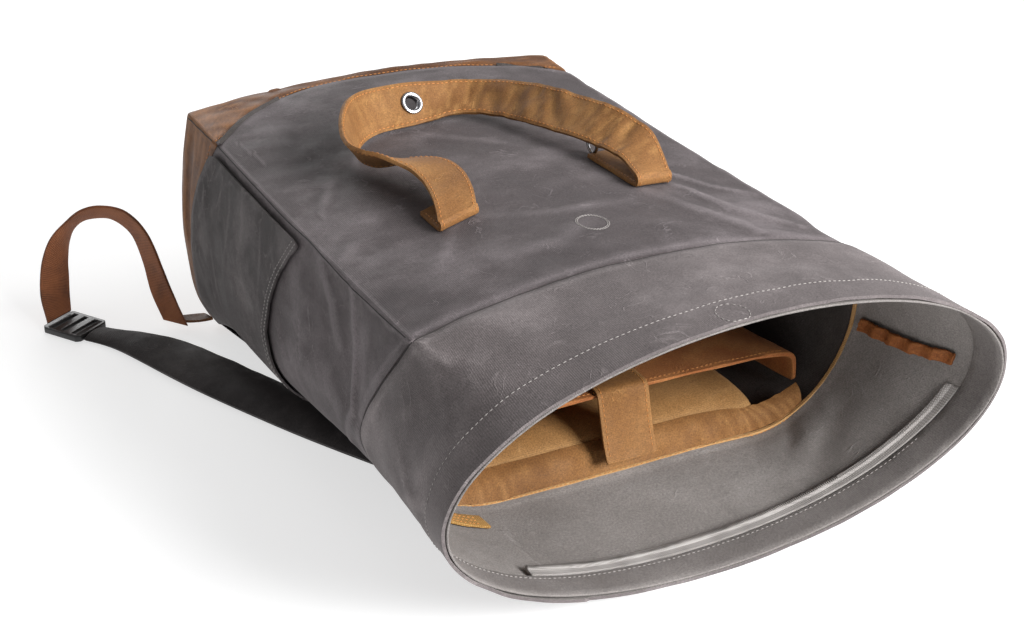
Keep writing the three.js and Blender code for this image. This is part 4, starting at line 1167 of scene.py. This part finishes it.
def stitches(name, lines, material, slot, pitch=3.6, lift=0.1, **shape):
    """Stitches along several lines, each laid on its own surface."""
    runs = [laid(resample(line, pitch * MM), surface, lift * MM) for line, surface in lines]
    sew(name, runs, material, slot, **shape)


lip_middle = (24, 99)
lip_half_wide, lip_half_high = 389 / 2, 99
lip_low_along, lip_high_along = -(355 + 113), -(405 + 102)


def lip_line(inward, drop, count=240):
    """A line round the mouth, a distance in from the lip, before it is laid on the cloth."""
    result = []
    for at in range(count + 1):
        angle = 2 * math.pi * at / count
        height = (1 + math.sin(angle)) / 2
        x = lip_middle[0] + (lip_half_wide - drop) * math.cos(angle)
        z = lip_middle[1] + (lip_half_high - drop) * math.sin(angle)
        y = lip_low_along * (1 - height) + lip_high_along * height + shift_y + inward
        result.append([x * MM, y * MM, z * MM])
    return result


def ring(middle, radius, squeeze=1.2, count=40):
    """A ring of points above a panel, longer along the bag."""
    turns = [2 * math.pi * at / count for at in range(count + 1)]
    return [[(middle[0] + radius * math.cos(turn)) * MM,
             (middle[1] + radius * squeeze * math.sin(turn)) * MM, middle[2] * MM]
            for turn in turns]


def hem_line(sign, inward):
    """A line beside the pocket's hem, before it is laid on the cloth."""
    ups = np.linspace(166, 34, 60) * MM
    bulge = 0.151 + 0.014 * np.sin(np.pi * (0.17 - ups) / 0.17)
    return [[sign * x, along + inward * MM, up]
            for x, along, up in zip(bulge, hem_along(ups), ups)]


stitches("collar_stitches", [
    (lip_line(25, 0), collar_surface),
    (ring((3, -291, 197), 9), collar_surface),
], grey_thread, "collar_canvas")
stitches("facing_stitches", [(lip_line(21, 6), trim_surfaces["lip_facing"])], grey_thread,
         "collar_canvas")
stitches("zip_coil", [(coil_line(), zip_surface)], zip_tape, "zip_grey", long=3.0, wide=1.0,
         pitch=1.4, cross=True)
stitches("panel_stitches", [(ring((1, -138, 192), radius), body_surface) for radius in (10, 9)],
         grey_thread, "grey_canvas", long=1.7, pitch=1.9)
for word, sign in (("left", -1), ("right", 1)):
    stitches(f"pocket_stitches_{word}",
             [(hem_line(sign, inward), pocket_surfaces[word]) for inward in (3, 8)],
             grey_thread, "dark_canvas")

# %% [markdown]
# The handle's stitches run along both edges, on both of its faces, one column in from the edge.

# %% Stitches of the handle
runs = []
for column in (1, handle_columns - 1):
    line = handle_grid[:, column]
    normal = np.cross(np.gradient(line, axis=0), handle_grid[:, -1] - handle_grid[:, 0])
    normal /= np.linalg.norm(normal, axis=1)[:, None]
    even = resample(line, 3.8 * MM)
    nearest = [int(np.argmin(np.linalg.norm(line - spot, axis=1))) for spot in even]
    for side in (1, -1):
        ups = normal[nearest] * side
        spots = even + ups * handle_half * MM
        runs.append((spots[1:-1], ups[1:-1]))
sew("handle_stitches", runs, tan_thread, "tan_canvas", long=2.6, wide=0.82)

# %% Stitches of the sleeve and the tabs
panel = trim_surfaces["sleeve_panel"]
closing_tab = trim_surfaces["sleeve_closing_tab"]
tab_low, tab_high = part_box("sleeve_tab")
edge_in = 0.003
tab_profile = ((tab_high.y - 0.004, 0.08), (-0.140, 0.08), (-0.156, 0.06), (-0.165, 0.035))
tab_lines = [[(x, y, z) for y, z in tab_profile]
             for x in (tab_low.x + edge_in, tab_high.x - edge_in)]
stitches("sleeve_stitches", [
    ([[-0.098, -0.1375, 0.078], [0.155, -0.1375, 0.078]], panel),
    *((line, closing_tab) for line in tab_lines),
], tan_thread, "tan_canvas")
low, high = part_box("inner_tab")
tab_rows = []
for share in (0.22, 0.5, 0.78):
    y, z = low.y + (high.y - low.y) * share, high.z + 0.01
    tab_rows.append(([[low.x, y, z], [high.x, y, z]], trim_surfaces["inner_loop_tab"]))
stitches("tab_stitches", tab_rows, tan_thread, "tan_canvas", long=2.0, wide=0.7, pitch=3.0)
binding_line = [[x * MM, -0.176, 0.018] for x in range(-148, 160, 4)]
stitches("binding_stitches", [(binding_line, trim_surfaces["bound_seam"])], tan_thread,
         "tan_canvas", long=2.0, wide=0.6, pitch=3.2)

# %% [markdown]
# Where two panels meet, the cloth turns in and leaves a narrow groove that lies in shade. A thin
# dark cord, sunk halfway into the cloth, paints that shade as a dark line along each seam.

# %% Turned seams, their shade painted as dark cords
def seam_shadow_line(name, line, surface, radius=0.5, sink=0.15, sides=5, pitch=3):
    """A thin dark cord along a line, half sunk into a surface: painted shade in a seam's groove."""
    spots, ups = laid(resample(np.array(line) * MM, pitch * MM), surface, -sink * MM)
    rings = []
    for at, (spot, up) in enumerate(zip(spots, ups)):
        run = spots[min(at + 1, len(spots) - 1)] - spots[max(at - 1, 0)]
        side = np.cross(up, run)
        side /= max(np.linalg.norm(side), 1e-9)
        rings.append([spot + radius * MM * (side * math.cos(turn) + up * math.sin(turn))
                      for turn in np.linspace(0, 2 * math.pi, sides + 1)[:sides]])
    faces = [[r * sides + c, r * sides + (c + 1) % sides, (r + 1) * sides + (c + 1) % sides,
              (r + 1) * sides + c] for r in range(len(rings) - 1) for c in range(sides)]
    finish_thread_and_seam_shadow(new_piece(name, [point for loop in rings for point in loop], faces),
                  seam_shadow_cord)


side_seam = [(-151, 175, 174), (-150, 136, 174), (-150, 88, 173), (-150, 43, 172), (-150, -1, 171),
             (-150, -41, 172), (-150, -80, 171), (-150, -119, 170), (-150, -156, 171),
             (-149, -194, 172)]
right_seam = [(151, 140, 174), (150, 88, 173), (150, -1, 171), (152, -60, 172), (160, -119, 172),
              (172, -180, 172)]
corner_seam = [(-157, 206, 175), (-154, 190, 175), (-150, 146, 174)]
# Each cord paints the shade that lies in a seam's groove.
seam_shadow_line("collar_seam", collar_edge + collar_edge[:1], collar_surface)
seam_shadow_line("left_panel_seam", side_seam, body_surface)
seam_shadow_line("right_panel_seam", right_seam, body_surface)
seam_shadow_line("base_corner_seam", corner_seam, base_surface)
edge_top = [(-149, 141, 175), (-125, 159, 178), (-96, 177, 181), (-44, 188, 183), (16, 192, 184),
            (85, 192, 181), (145, 172, 176)]
edge_left = [(-151, 146, 171), (-157, 152, 156), (-160, 158, 135), (-163, 165, 110),
             (-164, 169, 76)]
stitches("base_stitches", [((np.array(line) + (0, 4, 0)) * MM, base_surface)
                           for line in (edge_top, edge_left)], tan_thread, "brown_canvas")

# %% [markdown]
# At the end the sizes are printed, so that the dressed bag can be compared with the exact
# one.

# %% Sizes and finish
for piece in list(bpy.data.objects):
    if piece.name in frame["nodes"] and not piece.hide_render:
        print("still shown as a solid:", piece.name)
bpy.context.view_layer.update()
new_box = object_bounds()


def numbers(value):
    """A box's corners as plain numbers."""
    if hasattr(value, "__len__"):
        return [numbers(part) for part in value]
    return float(value)


{"cad": numbers(cad_box), "visual": numbers(new_box)}
print("exact", numbers(cad_box))
print("dressed", numbers(new_box))
